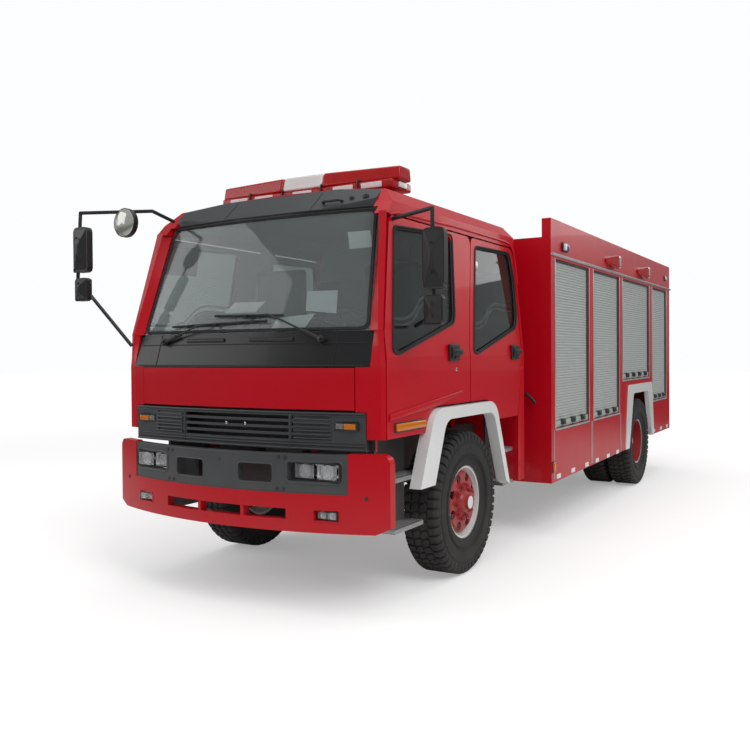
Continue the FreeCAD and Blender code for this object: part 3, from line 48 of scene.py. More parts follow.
def behind(distance):  # a place along the vehicle, from the front axle
    return axleY + distance


# Making and shaping pieces

def clearSelection():
    for thing in bpy.context.selected_objects:
        thing.select_set(False)


def makeActive(piece):
    clearSelection()
    piece.select_set(True)
    bpy.context.view_layer.objects.active = piece


def settle(piece):
    makeActive(piece)
    bpy.ops.object.transform_apply(location=True, rotation=True, scale=True)
    return piece


def useModifier(piece, kind, **values):
    makeActive(piece)
    modifier = piece.modifiers.new(kind.title(), kind)
    for key, value in values.items():
        setattr(modifier, key, value)
    bpy.ops.object.modifier_apply(modifier=modifier.name)


def roundEdges(piece, width, segments=2, angle=30):
    if width:
        useModifier(piece, "BEVEL", width=width, segments=segments, limit_method="ANGLE",
                    angle_limit=math.radians(angle))
    makeActive(piece)
    bpy.ops.object.shade_smooth_by_angle(angle=math.radians(35))
    return piece


def pickFaces(piece, test):
    makeActive(piece)
    bpy.ops.object.mode_set(mode="EDIT")
    bpy.ops.mesh.select_mode(type="FACE")
    bpy.ops.mesh.select_all(action="DESELECT")
    bpy.ops.object.mode_set(mode="OBJECT")
    for face in piece.data.polygons:
        face.select = test(face.center, face.normal)
    bpy.ops.object.mode_set(mode="EDIT")


def fixNormals(piece, merge=0.00005):
    makeActive(piece)
    bpy.ops.object.mode_set(mode="EDIT")
    bpy.ops.mesh.select_all(action="SELECT")
    bpy.ops.mesh.remove_doubles(threshold=merge)
    bpy.ops.mesh.normals_make_consistent(inside=False)
    bpy.ops.object.mode_set(mode="OBJECT")


def addBlock(name, low, high, edge=0.004, segments=2):
    low, high = Vector(low), Vector(high)
    bpy.ops.mesh.primitive_cube_add(size=1, location=(low + high) / 2)
    piece = bpy.context.object
    piece.name = name
    piece.scale = high - low
    settle(piece)
    return roundEdges(piece, min(edge, min(high - low) * 0.45), segments)


def addRod(name, start, end, radius, sides=24, edge=0.0, tip=None):
    start, end = Vector(start), Vector(end)
    along = end - start
    turn = along.to_track_quat("Z", "Y").to_euler()
    bpy.ops.mesh.primitive_cone_add(vertices=sides, radius1=radius, radius2=radius if tip is None else tip,
                                    depth=along.length, location=(start + end) / 2, rotation=turn)
    piece = bpy.context.object
    piece.name = name
    settle(piece)
    return roundEdges(piece, edge)


def addPipe(name, points, radius, bend=0.06, sides=4, closed=False):
    bpy.ops.curve.primitive_bezier_curve_add()
    piece = bpy.context.object
    piece.name = name
    piece.data.splines.clear()
    rounded = []
    count = len(points)
    for index, point in enumerate(points):
        here = Vector(point)
        if not closed and index in (0, count - 1):
            rounded.append(here)
            continue
        before, after = Vector(points[index - 1]), Vector(points[(index + 1) % count])
        back, on = before - here, after - here
        reach = min(bend, back.length * 0.45, on.length * 0.45)
        first, last = here + back.normalized() * reach, here + on.normalized() * reach
        for step in range(5):  # a quadratic corner
            share = step / 4
            rounded.append(first * (1 - share) ** 2 + here * 2 * share * (1 - share) + last * share ** 2)
    line = piece.data.splines.new("POLY")
    line.points.add(len(rounded) - 1)
    for spot, place in zip(line.points, rounded):
        spot.co = (*place, 1)
    line.use_cyclic_u = closed
    piece.data.dimensions = "3D"
    piece.data.bevel_depth = radius
    piece.data.bevel_resolution = sides
    piece.data.use_fill_caps = True
    piece.location = (0, 0, 0)
    makeActive(piece)
    bpy.ops.object.convert(target="MESH")
    piece = bpy.context.object
    settle(piece)
    fixNormals(piece)
    bpy.ops.object.shade_smooth_by_angle(angle=math.radians(50))
    return piece


def drawChain(name, points):  # a run of edges, extruded vertex by vertex
    bpy.ops.mesh.primitive_plane_add(size=0.01, location=points[0])
    piece = bpy.context.object
    piece.name = name
    settle(piece)
    bpy.ops.object.mode_set(mode="EDIT")
    bpy.ops.mesh.select_mode(type="VERT")
    bpy.ops.mesh.select_all(action="SELECT")
    bpy.ops.mesh.merge(type="CENTER")
    for start, end in zip(points, points[1:]):
        step = Vector(end) - Vector(start)
        bpy.ops.mesh.extrude_region_move(TRANSFORM_OT_translate={"value": step})
    bpy.ops.object.mode_set(mode="OBJECT")
    return piece


def addPanel(name, points, depth, edge=0.003, segments=2):  # a flat outline given a thickness
    piece = drawChain(name, points)
    bpy.ops.object.mode_set(mode="EDIT")
    bpy.ops.mesh.select_all(action="SELECT")
    bpy.ops.mesh.edge_face_add()
    bpy.ops.mesh.select_all(action="SELECT")
    bpy.ops.mesh.extrude_region_move(TRANSFORM_OT_translate={"value": depth})
    bpy.ops.object.mode_set(mode="OBJECT")
    fixNormals(piece)
    return roundEdges(piece, edge, segments)


def addSpun(name, profile, centre, axis, steps=48, angle=40):  # profile points turned round an axis
    piece = drawChain(name, profile)
    bpy.ops.object.mode_set(mode="EDIT")
    bpy.ops.mesh.select_all(action="SELECT")
    bpy.ops.mesh.spin(steps=steps, angle=2 * math.pi, center=centre, axis=axis)
    bpy.ops.object.mode_set(mode="OBJECT")
    fixNormals(piece, 0.0002)
    bpy.ops.object.shade_smooth_by_angle(angle=math.radians(angle))
    return piece


def copyPiece(piece, name, shift=(0, 0, 0)):
    twin = piece.copy()
    twin.data = piece.data.copy()
    twin.name = name
    bpy.context.scene.collection.objects.link(twin)
    twin.location = Vector(shift)
    return settle(twin)


def mirrorPiece(piece, name):  # the same piece on the other side of the vehicle
    twin = copyPiece(piece, name)
    twin.scale = (-1, 1, 1)
    settle(twin)
    bpy.ops.object.mode_set(mode="EDIT")
    bpy.ops.mesh.select_all(action="SELECT")
    bpy.ops.mesh.normals_make_consistent(inside=False)
    bpy.ops.object.mode_set(mode="OBJECT")
    return twin


def joinPieces(name, pieces):
    makeActive(pieces[0])
    for piece in pieces[1:]:
        piece.select_set(True)
    if len(pieces) > 1:
        bpy.ops.object.join()
    pieces[0].name = name
    return pieces[0]


def bothSides(piece, leftName, rightName):
    piece.name = leftName
    return piece, mirrorPiece(piece, rightName)


def turnPiece(piece, angle, axis, centre):
    makeActive(piece)
    bpy.ops.object.mode_set(mode="EDIT")
    bpy.ops.mesh.select_all(action="SELECT")
    bpy.ops.transform.rotate(value=-angle, orient_axis=axis, orient_type="GLOBAL", center_override=centre)
    bpy.ops.object.mode_set(mode="OBJECT")
    return piece


def finishPiece(piece, material, body="chassis"):
    piece.data.materials.clear()
    piece.data.materials.append(material)
    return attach(piece, body)


# Shared effects, as node groups

def newGroup(name, inputs, outputs):
    group = bpy.data.node_groups.new(name, "ShaderNodeTree")
    for label, kind, value in inputs:
        socket = group.interface.new_socket(label, in_out="INPUT", socket_type="NodeSocket" + kind)
        if value is not None:
            socket.default_value = value
    for label, kind in outputs:
        group.interface.new_socket(label, in_out="OUTPUT", socket_type="NodeSocket" + kind)
    return group, group.nodes.new("NodeGroupInput"), group.nodes.new("NodeGroupOutput")


def addNode(tree, kind, links=None, **values):
    node = tree.nodes.new("ShaderNode" + kind)
    for key, value in values.items():
        setattr(node, key, value)
    for socket, source in (links or {}).items():
        if isinstance(source, bpy.types.NodeSocket):
            tree.links.new(source, node.inputs[socket])
        else:
            node.inputs[socket].default_value = source
    return node


def mathNode(tree, operation, first, second=0.0):
    return addNode(tree, "Math", {0: first, 1: second}, operation=operation).outputs[0]


def mixColour(tree, share, first, second):
    node = tree.nodes.new("ShaderNodeMix")
    node.data_type = "RGBA"
    for socket, source in ((0, share), (6, first), (7, second)):
        if isinstance(source, bpy.types.NodeSocket):
            tree.links.new(source, node.inputs[socket])
        else:
            node.inputs[socket].default_value = source
    return node.outputs[2]


def makeToneGroup():  # large soft shifts of tone with a finer mottle
    group, start, end = newGroup("surfaceTone",
                                 [("Colour", "Color", None), ("Scale", "Float", 2.0), ("Amount", "Float", 0.1),
                                                  ("Vector", "Vector", None)], [("Colour", "Color")])
    broad = addNode(group, "TexNoise",
                    {"Vector": start.outputs["Vector"], "Scale": start.outputs["Scale"], "Detail": 4.0})
    fineScale = mathNode(group, "MULTIPLY", start.outputs["Scale"], 14.0)
    fine = addNode(group, "TexNoise", {"Vector": start.outputs["Vector"], "Scale": fineScale, "Detail": 2.0})
    both = mathNode(group, "ADD", broad.outputs["Fac"], mathNode(group, "MULTIPLY", fine.outputs["Fac"], 0.35))
    lift = mathNode(group, "SUBTRACT", both, 0.675)
    value = mathNode(group, "ADD", mathNode(group, "MULTIPLY", lift, start.outputs["Amount"]), 1.0)
    shade = addNode(group, "HueSaturation", {"Color": start.outputs["Colour"], "Value": value})
    group.links.new(shade.outputs[0], end.inputs["Colour"])
    return group


def makeWearGroup():  # bright or dull marks where edges get rubbed
    group, start, end = newGroup("edgeWear",
                                 [("Radius", "Float", 0.004), ("Strength", "Float", 1.0), ("Vector", "Vector", None)],
                                 [("Mask", "Float")])
    soft = addNode(group, "Bevel", {"Radius": start.outputs["Radius"]}, samples=3)
    plain = addNode(group, "NewGeometry")
    match = addNode(group, "VectorMath", {0: soft.outputs[0], 1: plain.outputs["Normal"]}, operation="DOT_PRODUCT")
    edge = mathNode(group, "SUBTRACT", 1.0, match.outputs["Value"])
    patches = addNode(group, "TexNoise",
                      {"Vector": start.outputs["Vector"], "Scale": 22.0, "Detail": 5.0, "Roughness": 0.65})
    broken = addNode(group, "MapRange", {"Value": patches.outputs["Fac"], "From Min": 0.48, "From Max": 0.66})
    mask = mathNode(group, "MULTIPLY", mathNode(group, "MULTIPLY", edge, 5.0), broken.outputs[0])
    limited = addNode(group, "Clamp", {"Value": mathNode(group, "MULTIPLY", mask, start.outputs["Strength"])})
    group.links.new(limited.outputs[0], end.inputs["Mask"])
    return group


def makeDustGroup():  # road dust, thickest low down
    group, start, end = newGroup("roadDust",
                                 [("Height", "Float", 1.0), ("Amount", "Float", 0.3), ("Vector", "Vector", None)],
                                 [("Mask", "Float")])
    place = addNode(group, "SeparateXYZ", {0: start.outputs["Vector"]})
    low = addNode(group, "MapRange",
                  {"Value": place.outputs["Z"], "From Min": start.outputs["Height"], "From Max": 0.0})
    clouds = addNode(group, "TexNoise",
                     {"Vector": start.outputs["Vector"], "Scale": 5.0, "Detail": 6.0, "Roughness": 0.6})
    mask = mathNode(group, "MULTIPLY", mathNode(group, "MULTIPLY", low.outputs[0], clouds.outputs["Fac"]),
                    start.outputs["Amount"])
    limited = addNode(group, "Clamp", {"Value": mathNode(group, "MULTIPLY", mask, 1.7)})
    group.links.new(limited.outputs[0], end.inputs["Mask"])
    return group


def makeRoughGroup():  # uneven gloss, from wiping and handling
    group, start, end = newGroup("unevenGloss",
                                 [("Base", "Float", 0.3), ("Spread", "Float", 0.1), ("Scale", "Float", 6.0),
                                                  ("Vector", "Vector", None)], [("Roughness", "Float")])
    smear = addNode(group, "TexNoise",
                    {"Vector": start.outputs["Vector"], "Scale": start.outputs["Scale"], "Detail": 5.0})
    offset = mathNode(group, "MULTIPLY", mathNode(group, "SUBTRACT", smear.outputs["Fac"], 0.5),
                      start.outputs["Spread"])
    limited = addNode(group, "Clamp", {"Value": mathNode(group, "ADD", start.outputs["Base"], offset), "Min": 0.02})
    group.links.new(limited.outputs[0], end.inputs["Roughness"])
    return group


groups = {"tone": makeToneGroup(), "wear": makeWearGroup(), "dust": makeDustGroup(), "gloss": makeRoughGroup()}
print("shared effects made")

# One entry for each finish. A colour is linear red, green, blue.
finishes = {
    "redPaint": {"colour": (0.47, 0.0012, 0.009), "tone": 0.10, "gloss": (0.34, 0.10), "coat": 0.16, "shine": 0.22,
                 "dust": (0.8, 0.10),
                 "wear": (0.003, 0.20, (0.56, 0.05, 0.05)), "grain": (900.0, 0.015)},
    "wheelRed": {"colour": (0.34, 0.002, 0.008), "tone": 0.18, "gloss": (0.36, 0.14), "coat": 0.2, "shine": 0.3,
                 "dust": (1.3, 0.20),
                 "wear": (0.004, 0.5, (0.30, 0.22, 0.20)), "grain": (260.0, 0.08)},
    "whitePaint": {"colour": (0.74, 0.75, 0.74), "tone": 0.08, "gloss": (0.30, 0.12), "coat": 0.5,
                   "dust": (1.3, 0.30),
                   "wear": (0.004, 0.3, (0.42, 0.41, 0.40)), "grain": (700.0, 0.02)},
    "darkTrim": {"colour": (0.036, 0.040, 0.044), "tone": 0.25, "gloss": (0.42, 0.14), "dust": (1.3, 0.20),
                 "wear": (0.004, 0.35, (0.12, 0.12, 0.12)), "grain": (1400.0, 0.10)},
    "blackGloss": {"colour": (0.007, 0.008, 0.009), "tone": 0.2, "gloss": (0.30, 0.08), "coat": 0.06, "shine": 0.30,
                   "dust": (2.2, 0.05),
                   "wear": (0.003, 0.15, (0.05, 0.05, 0.05)), "grain": (900.0, 0.01)},
    "blackPlastic": {"colour": (0.014, 0.014, 0.015), "tone": 0.3, "gloss": (0.46, 0.16), "dust": (1.6, 0.14),
                     "wear": (0.003, 0.35, (0.07, 0.07, 0.07)), "grain": (1600.0, 0.14)},
    "rubber": {"colour": (0.011, 0.011, 0.012), "tone": 0.3, "gloss": (0.66, 0.14), "dust": (1.6, 0.12),
               "wear": (0.003, 0.2, (0.05, 0.05, 0.05)), "grain": (600.0, 0.10)},
    "tyreRubber": {"colour": (0.013, 0.014, 0.015), "tone": 0.35, "gloss": (0.74, 0.12), "shine": 0.3,
                   "dust": (1.6, 0.12),
                   "wear": (0.006, 0.3, (0.05, 0.05, 0.05)), "grain": (240.0, 0.22)},
    "frameBlack": {"colour": (0.018, 0.018, 0.020), "tone": 0.35, "gloss": (0.52, 0.2), "dust": (1.4, 0.45),
                   "wear": (0.005, 0.5, (0.14, 0.10, 0.08)), "grain": (300.0, 0.14)},
    "castGrey": {"colour": (0.055, 0.055, 0.058), "tone": 0.4, "gloss": (0.64, 0.2), "metal": 0.5, "dust": (1.3, 0.5),
                 "wear": (0.005, 0.5, (0.22, 0.19, 0.16)), "grain": (120.0, 0.35)},
    "springSteel": {"colour": (0.035, 0.034, 0.036), "tone": 0.4, "gloss": (0.55, 0.2), "metal": 0.4,
                    "dust": (1.3, 0.5),
                    "wear": (0.004, 0.5, (0.20, 0.13, 0.09)), "grain": (180.0, 0.2)},
    "aluminium": {"colour": (0.60, 0.61, 0.62), "tone": 0.10, "gloss": (0.36, 0.16), "metal": 0.85,
                  "dust": (1.4, 0.25),
                  "wear": (0.003, 0.3, (0.80, 0.80, 0.80)), "grain": (500.0, 0.06), "brushed": 0.5},
    "curtainMetal": {"colour": (0.38, 0.405, 0.39), "tone": 0.05, "gloss": (0.66, 0.04), "metal": 0.12,
                     "dust": (2.2, 0.12),
                     "wear": (0.002, 0.2, (0.7, 0.7, 0.7)), "grain": (700.0, 0.03)},
    "chrome": {"colour": (0.82, 0.83, 0.84), "tone": 0.05, "gloss": (0.10, 0.06), "metal": 1.0, "dust": (1.4, 0.1),
               "wear": (0.002, 0.1, (0.9, 0.9, 0.9)), "grain": (500.0, 0.01)},
    "dashPlastic": {"colour": (0.052, 0.053, 0.058), "tone": 0.2, "gloss": (0.58, 0.12),
                    "wear": (0.004, 0.3, (0.12, 0.12, 0.12)), "grain": (1100.0, 0.25)},
    "lining": {"colour": (0.40, 0.41, 0.41), "tone": 0.15, "gloss": (0.80, 0.1),
               "wear": (0.004, 0.1, (0.5, 0.5, 0.5)),
               "grain": (150.0, 0.05)},
    "paper": {"colour": (0.88, 0.90, 0.88), "tone": 0.08, "gloss": (0.75, 0.1), "wear": (0.001, 0.1, (0.6, 0.6, 0.6)),
              "grain": (900.0, 0.05)},
    "treadPlate": {"colour": (0.36, 0.37, 0.37), "tone": 0.2, "gloss": (0.38, 0.16), "metal": 0.75,
                   "dust": (1.2, 0.25),
                   "wear": (0.003, 0.3, (0.8, 0.8, 0.8)), "grain": (420.0, 0.08), "tread": 26.0},
    "mirrorGlass": {"colour": (0.50, 0.51, 0.47), "tone": 0.03, "gloss": (0.12, 0.05), "metal": 0.55,
                    "wear": (0.001, 0.1, (0.7, 0.7, 0.7)), "grain": (12.0, 0.004)},
    "seatCloth": {"colour": (0.085, 0.090, 0.105), "tone": 0.25, "gloss": (0.86, 0.08),
                  "wear": (0.006, 0.25, (0.16, 0.16, 0.17)),
                  "grain": (1500.0, 0.3), "weave": 0.0022},
    "seatVinyl": {"colour": (0.030, 0.030, 0.033), "tone": 0.2, "gloss": (0.50, 0.12),
                  "wear": (0.005, 0.3, (0.09, 0.09, 0.09)),
                  "grain": (520.0, 0.4)},
    "reflectiveWhite": {"colour": (0.80, 0.81, 0.80), "tone": 0.05, "gloss": (0.28, 0.1), "coat": 0.4,
                        "dust": (1.2, 0.3),
                        "wear": (0.002, 0.2, (0.5, 0.5, 0.5)), "grain": (220.0, 0.12)},
}
lenses = {
    "lensRed": {"colour": (0.60, 0.010, 0.012), "clear": 0.45, "ribs": 120.0},
    "lensAmber": {"colour": (0.85, 0.24, 0.02), "clear": 0.35, "ribs": 160.0},
    "lensBlue": {"colour": (0.03, 0.10, 0.55), "clear": 0.45, "ribs": 120.0},
    "lensClear": {"colour": (0.93, 0.94, 0.94), "clear": 0.85, "ribs": 170.0},
    "lensWhite": {"colour": (0.90, 0.91, 0.90), "clear": 0.30, "ribs": 140.0},
}


def startMaterial(name):
    material = bpy.data.materials.new(name)
    material.use_nodes = True
    tree = material.node_tree
    shader = tree.nodes["Principled BSDF"]
    place = addNode(tree, "TexCoord")
    return material, tree, shader, place.outputs["Object"]


def useGroup(tree, key, **links):
    return addNode(tree, "Group", {name.capitalize(): value for name, value in links.items()},
                   node_tree=groups[key]).outputs[0]


def bumpFrom(tree, height, strength, distance, under=None):
    links = {"Height": height, "Strength": strength, "Distance": distance}
    if under:
        links["Normal"] = under
    return addNode(tree, "Bump", links).outputs[0]


def grainNormal(tree, place, scale, strength):
    speck = addNode(tree, "TexNoise", {"Vector": place, "Scale": scale, "Detail": 3.0})
    return bumpFrom(tree, speck.outputs["Fac"], strength, 0.001)


def makeFinish(name, colourFrom=None, values=None):
    values = values or finishes[name]
    material, tree, shader, place = startMaterial(name)
    base = colourFrom(tree, place) if colourFrom else (*values["colour"], 1)
    colour = useGroup(tree, "tone", colour=base, scale=1.6, amount=values["tone"], vector=place)
    radius, strength, worn = values["wear"]
    rubbed = useGroup(tree, "wear", radius=radius, strength=strength, vector=place)
    colour = mixColour(tree, rubbed, colour, (*worn, 1))
    low, spread = values["gloss"]
    rough = useGroup(tree, "gloss", base=low, spread=spread, scale=5.0, vector=place)
    if "dust" in values:
        height, amount = values["dust"]
        dusty = useGroup(tree, "dust", height=height, amount=amount, vector=place)
        colour = mixColour(tree, dusty, colour, (0.30, 0.27, 0.235, 1))
        rough = mathNode(tree, "ADD", rough, mathNode(tree, "MULTIPLY", dusty, 0.5))
    if "brushed" in values:  # long fine scratches along the vehicle
        stretched = addNode(tree, "Mapping", {"Vector": place, "Scale": (60.0, 4.0, 700.0)})
        lines = addNode(tree, "TexNoise", {"Vector": stretched.outputs[0], "Scale": 3.0, "Detail": 3.0})
        offset = mathNode(tree, "MULTIPLY", mathNode(tree, "SUBTRACT", lines.outputs["Fac"], 0.5),
                          values["brushed"] * 0.5)
        rough = mathNode(tree, "ADD", rough, offset)
    tree.links.new(colour, shader.inputs["Base Color"])
    tree.links.new(rough, shader.inputs["Roughness"])
    scale, depth = values["grain"]
    normal = grainNormal(tree, place, scale, depth)
    if "weave" in values:  # crossed threads
        threads = [addNode(tree, "TexWave", {"Vector": place, "Scale": 0.314 / values["weave"]},
                           bands_direction=way).outputs["Fac"]
                   for way in ("X", "Y", "Z")]
        woven = mathNode(tree, "MULTIPLY", threads[0], mathNode(tree, "MAXIMUM", threads[1], threads[2]))
        normal = bumpFrom(tree, woven, 0.6, 0.0008, normal)
    if "tread" in values:  # raised lozenges, set in two directions
        lozenges = []
        for turn in (0.785, -0.785):
            turned = addNode(tree, "Mapping",
                             {"Vector": place, "Rotation": (0.0, 0.0, turn), "Scale": (1.0, 2.6, 1.0)})
            cells = addNode(tree, "TexVoronoi",
                            {"Vector": turned.outputs[0], "Scale": values["tread"], "Randomness": 0.0})
            lozenges.append(cells.outputs["Distance"])
        low = mathNode(tree, "MINIMUM", lozenges[0], lozenges[1])
        raised = addNode(tree, "MapRange", {"Value": low, "From Min": 0.32, "From Max": 0.18})
        normal = bumpFrom(tree, raised.outputs[0], 0.8, 0.003, normal)
    tree.links.new(normal, shader.inputs["Normal"])
    shader.inputs["Metallic"].default_value = values.get("metal", 0.0)
    shader.inputs["Coat Weight"].default_value = values.get("coat", 0.0)
    shader.inputs["Coat Roughness"].default_value = 0.04
    shader.inputs["Specular IOR Level"].default_value = values.get("shine", 0.5)
    return material


def makeLens(name):
    values = lenses[name]
    material, tree, shader, place = startMaterial(name)
    colour = useGroup(tree, "tone", colour=(*values["colour"], 1), scale=8.0, amount=0.12, vector=place)
    tree.links.new(colour, shader.inputs["Base Color"])
    tree.links.new(useGroup(tree, "gloss", base=0.10, spread=0.06, scale=12.0, vector=place),
                   shader.inputs["Roughness"])
    ribs = addNode(tree, "TexWave", {"Vector": place, "Scale": values["ribs"] / 6.28, "Distortion": 0.0},
                   bands_direction="X")
    tree.links.new(bumpFrom(tree, ribs.outputs["Fac"], 0.5, 0.002), shader.inputs["Normal"])
    shader.inputs["Transmission Weight"].default_value = values["clear"]
    shader.inputs["IOR"].default_value = 1.45
    return material


def makeGlass(name, tint, rough, haze):
    material, tree, shader, place = startMaterial(name)
    colour = useGroup(tree, "tone", colour=(*tint, 1), scale=1.2, amount=0.08, vector=place)
    tree.links.new(colour, shader.inputs["Base Color"])
    tree.links.new(useGroup(tree, "gloss", base=rough, spread=0.02, scale=3.0, vector=place),
                   shader.inputs["Roughness"])
    tree.links.new(grainNormal(tree, place, 0.8, 0.002), shader.inputs["Normal"])
    shader.inputs["Transmission Weight"].default_value = 1.0 - haze
    shader.inputs["IOR"].default_value = 1.32
    return material


materials = {name: makeFinish(name) for name in finishes}
materials.update({name: makeLens(name) for name in lenses})
materials["screenGlass"] = makeGlass("screenGlass", (0.66, 0.72, 0.72), 0.0, 0.11)
materials["sideGlass"] = makeGlass("sideGlass", (0.34, 0.40, 0.38), 0.01, 0.03)
print("finishes made")


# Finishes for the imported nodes

doorBodies = ("front_door_left", "front_door_right", "rear_door_left", "rear_door_right")
nodeFinishes = {
    "redPaint": ("cab_shell", "front_lid", "bumper_cover", "front_door_left", "front_door_right", "rear_door_left",
                 "rear_door_right", "body_hull", "body_sides"),
    "frameBlack": ("chassis_frame",),
    "castGrey": ("front_axle_beam", "rear_axle", "engine_block", "knuckle_left", "knuckle_right"),
    "springSteel": ("leaf_springs",), "darkTrim": ("grille", "bumper_beam", "lamps"),
    "blackGloss": ("windshield_surround",), "screenGlass": ("windshield",), "whitePaint": ("wheel_arches",),
    "aluminium": ("monitor_base", "monitor_turret", "monitor_barrel"), "treadPlate": ("steps",),
    "sideGlass": ("front_door_glass_left", "front_door_glass_right", "rear_door_glass_left", "rear_door_glass_right"),
    "dashPlastic": ("dashboard",), "blackPlastic": ("steering_wheel", "left_mirror", "right_mirror"),
    "wheelRed": ("front_rim_left", "front_rim_right", "rear_rims_left", "rear_rims_right"),
    "tyreRubber": ("front_tyre_left", "front_tyre_right", "rear_tyres_left", "rear_tyres_right"),
    "curtainMetal": ("roller_shutters",), "lensRed": ("light_bar",), "lining": ("seats",),
}
for finish, names in nodeFinishes.items():
    for name in names:
        node = frame["nodes"][name]
        node.data.materials.clear()
        node.data.materials.append(materials[finish])


def leanX(z):  # the cab side leans inward above the belt
    return 1.092 - max(0.0, z - 1.6) * math.tan(math.radians(5.4))


def finishPart(name, finish, test):  # another finish for the faces that pass a test
    mesh = frame["nodes"][name].data
    mesh.materials.append(materials[finish])
    for face in mesh.polygons:
        if test(face.center, face.normal):
            face.material_index = len(mesh.materials) - 1


def facesCabin(centre, normal):
    inward = Vector((0, -2.6, 1.95)) - centre
    foremost = -3.64 + 0.42 * max(0.0, centre.z - 1.77)  # the glass slopes back
    within = abs(centre.x) < leanX(centre.z) - 0.028 and foremost < centre.y < -1.40 and centre.z > 1.19
    return within and normal.dot(inward.normalized()) > 0.15


def onTread(centre, normal):
    onPanel = abs(centre.x) > 0.899 and any(low < centre.z < low + 0.03 for low in (0.474, 0.529, 0.799))
    return centre.y > 3.9 or onPanel


finishPart("cab_shell", "lining", facesCabin)
finishPart("cab_shell", "frameBlack", lambda centre, normal: centre.z < 1.175 and normal.z < -0.5)
finishPart("cab_shell", "frameBlack",
           lambda centre, normal: centre.z < 1.30 and abs(centre.x) < 1.04 and -3.4 < centre.y < -1.75)
finishPart("cab_shell", "frameBlack",
           lambda centre, normal: -3.72 < centre.y < -3.60 and centre.z < 1.54 and abs(centre.x) < 1.0)
for name in doorBodies:
    finishPart(name, "lining", lambda centre, normal: normal.x * centre.x < -0.5 * abs(centre.x))
finishPart("steps", "frameBlack", lambda centre, normal: not onTread(centre, normal))
finishPart("wheel_arches", "rubber", lambda centre, normal: normal.x * centre.x < -0.5 * abs(centre.x))
finishPart("windshield_surround", "darkTrim", lambda centre, normal: centre.z > 2.3)
finishPart("body_hull", "treadPlate", lambda centre, normal: centre.z > 2.63 and normal.z > 0.9)
finishPart("body_hull", "frameBlack", lambda centre, normal: normal.z < -0.9 and centre.z < 1.3)
print("nodes given their finishes")


# Wheels: grooved tyres, wheel nuts and painted rims

def makeTyre(name, middleX, alongY):
    carcass = {"half": 0.14, "bead": 0.266, "flange": 0.310, "crown": 0.510, "beading": 0.0022}
    half, crown = carcass["half"], carcass["crown"]
    side = [(half - 0.026, carcass["bead"]), (half - 0.022, carcass["flange"]), (half - 0.006, 0.345),
            (half - 0.001, 0.385), (half - 0.002, 0.425), (half - 0.007, 0.462), (half - 0.016, 0.492),
            (half - 0.034, crown - 0.002), (0.05, crown)]
    half = [(middleX + x, alongY, axleZ + r) for x, r in side]
    profile = half + [(2 * middleX - x, y, z) for x, y, z in reversed(half)]
    body = addSpun(name, profile, (middleX, alongY, axleZ), (1, 0, 0), steps=96)
    tread = {"top": 0.0228, "rows": 50, "shoulderIn": 0.066, "shoulderOut": 0.137, "crest": 0.5225, "root": 0.006,
             "stagger": 3.6}
    lugs = []
    low, high = axleZ + crown - tread["root"], axleZ + tread["crest"]
    for side in (-1, 1):
        outer = middleX + side * tread["shoulderOut"]
        inner = middleX + side * tread["shoulderIn"]
        shape = [(inner, low), (inner, high), (outer - side * 0.022, high), (outer, high - 0.022),
                 (outer, low - 0.052), (outer - side * 0.016, low - 0.052)]
        lug = addPanel("lug", [(x, alongY - tread["top"], z) for x, z in shape], (0, 2 * tread["top"], 0), edge=0.003,
                       segments=1)
        lugs.append(turnPiece(lug, math.radians(tread["stagger"] if side > 0 else 0), "X", (middleX, alongY, axleZ)))
        rib = [(0.030, -0.030), (0.058, -0.012), (0.058, 0.026), (0.034, 0.030), (0.006, 0.012), (0.006, -0.026)]
        points = [(middleX + side * x, alongY + side * y, low) for x, y in rib]
        lugs.append(addPanel("rib", points, (0, 0, high - low), edge=0.003, segments=1))
    ring = joinPieces("lugRing", lugs)
    bpy.ops.object.mode_set(mode="EDIT")
    bpy.ops.mesh.select_all(action="SELECT")
    share = (tread["rows"] - 1) / tread["rows"]
    bpy.ops.mesh.spin(steps=tread["rows"] - 1, dupli=True, angle=2 * math.pi * share, center=(middleX, alongY, axleZ),
                      axis=(1, 0, 0))
    bpy.ops.object.mode_set(mode="OBJECT")
    for radius in (0.335, 0.352, 0.440):  # moulded rings on the sidewall
        for side in (-1, 1):
            wallX = middleX + side * (0.1375 if radius > 0.34 else 0.1345)
            bpy.ops.mesh.primitive_torus_add(location=(wallX, alongY, axleZ),
                                             rotation=(0, math.pi / 2, 0), major_radius=radius,
                                             minor_radius=carcass["beading"],
                                             major_segments=96, minor_segments=6)
            lugs.append(settle(bpy.context.object))
    return joinPieces(name, [body, ring] + lugs[4:])


def makeNuts(name, faceX, alongY, side):
    sizes = {"circle": 0.122, "count": 10, "across": 0.0185, "stand": 0.026, "stud": 0.010, "washer": 0.023}
    parts = []
    for index in range(sizes["count"]):
        angle = 2 * math.pi * index / sizes["count"]
        y = alongY + sizes["circle"] * math.cos(angle)
        z = axleZ + sizes["circle"] * math.sin(angle)
        reach = faceX + side * sizes["stand"]
        parts.append(addRod("washer", (faceX - side * 0.004, y, z), (faceX + side * 0.006, y, z), sizes["washer"], 20,
                            0.001))
        parts.append(addRod("nut", (faceX, y, z), (reach, y, z), sizes["across"], 6, 0.002))
        parts.append(addRod("stud", (reach, y, z), (reach + side * sizes["stud"], y, z), sizes["stud"], 12, 0.002))
    return joinPieces(name, parts)


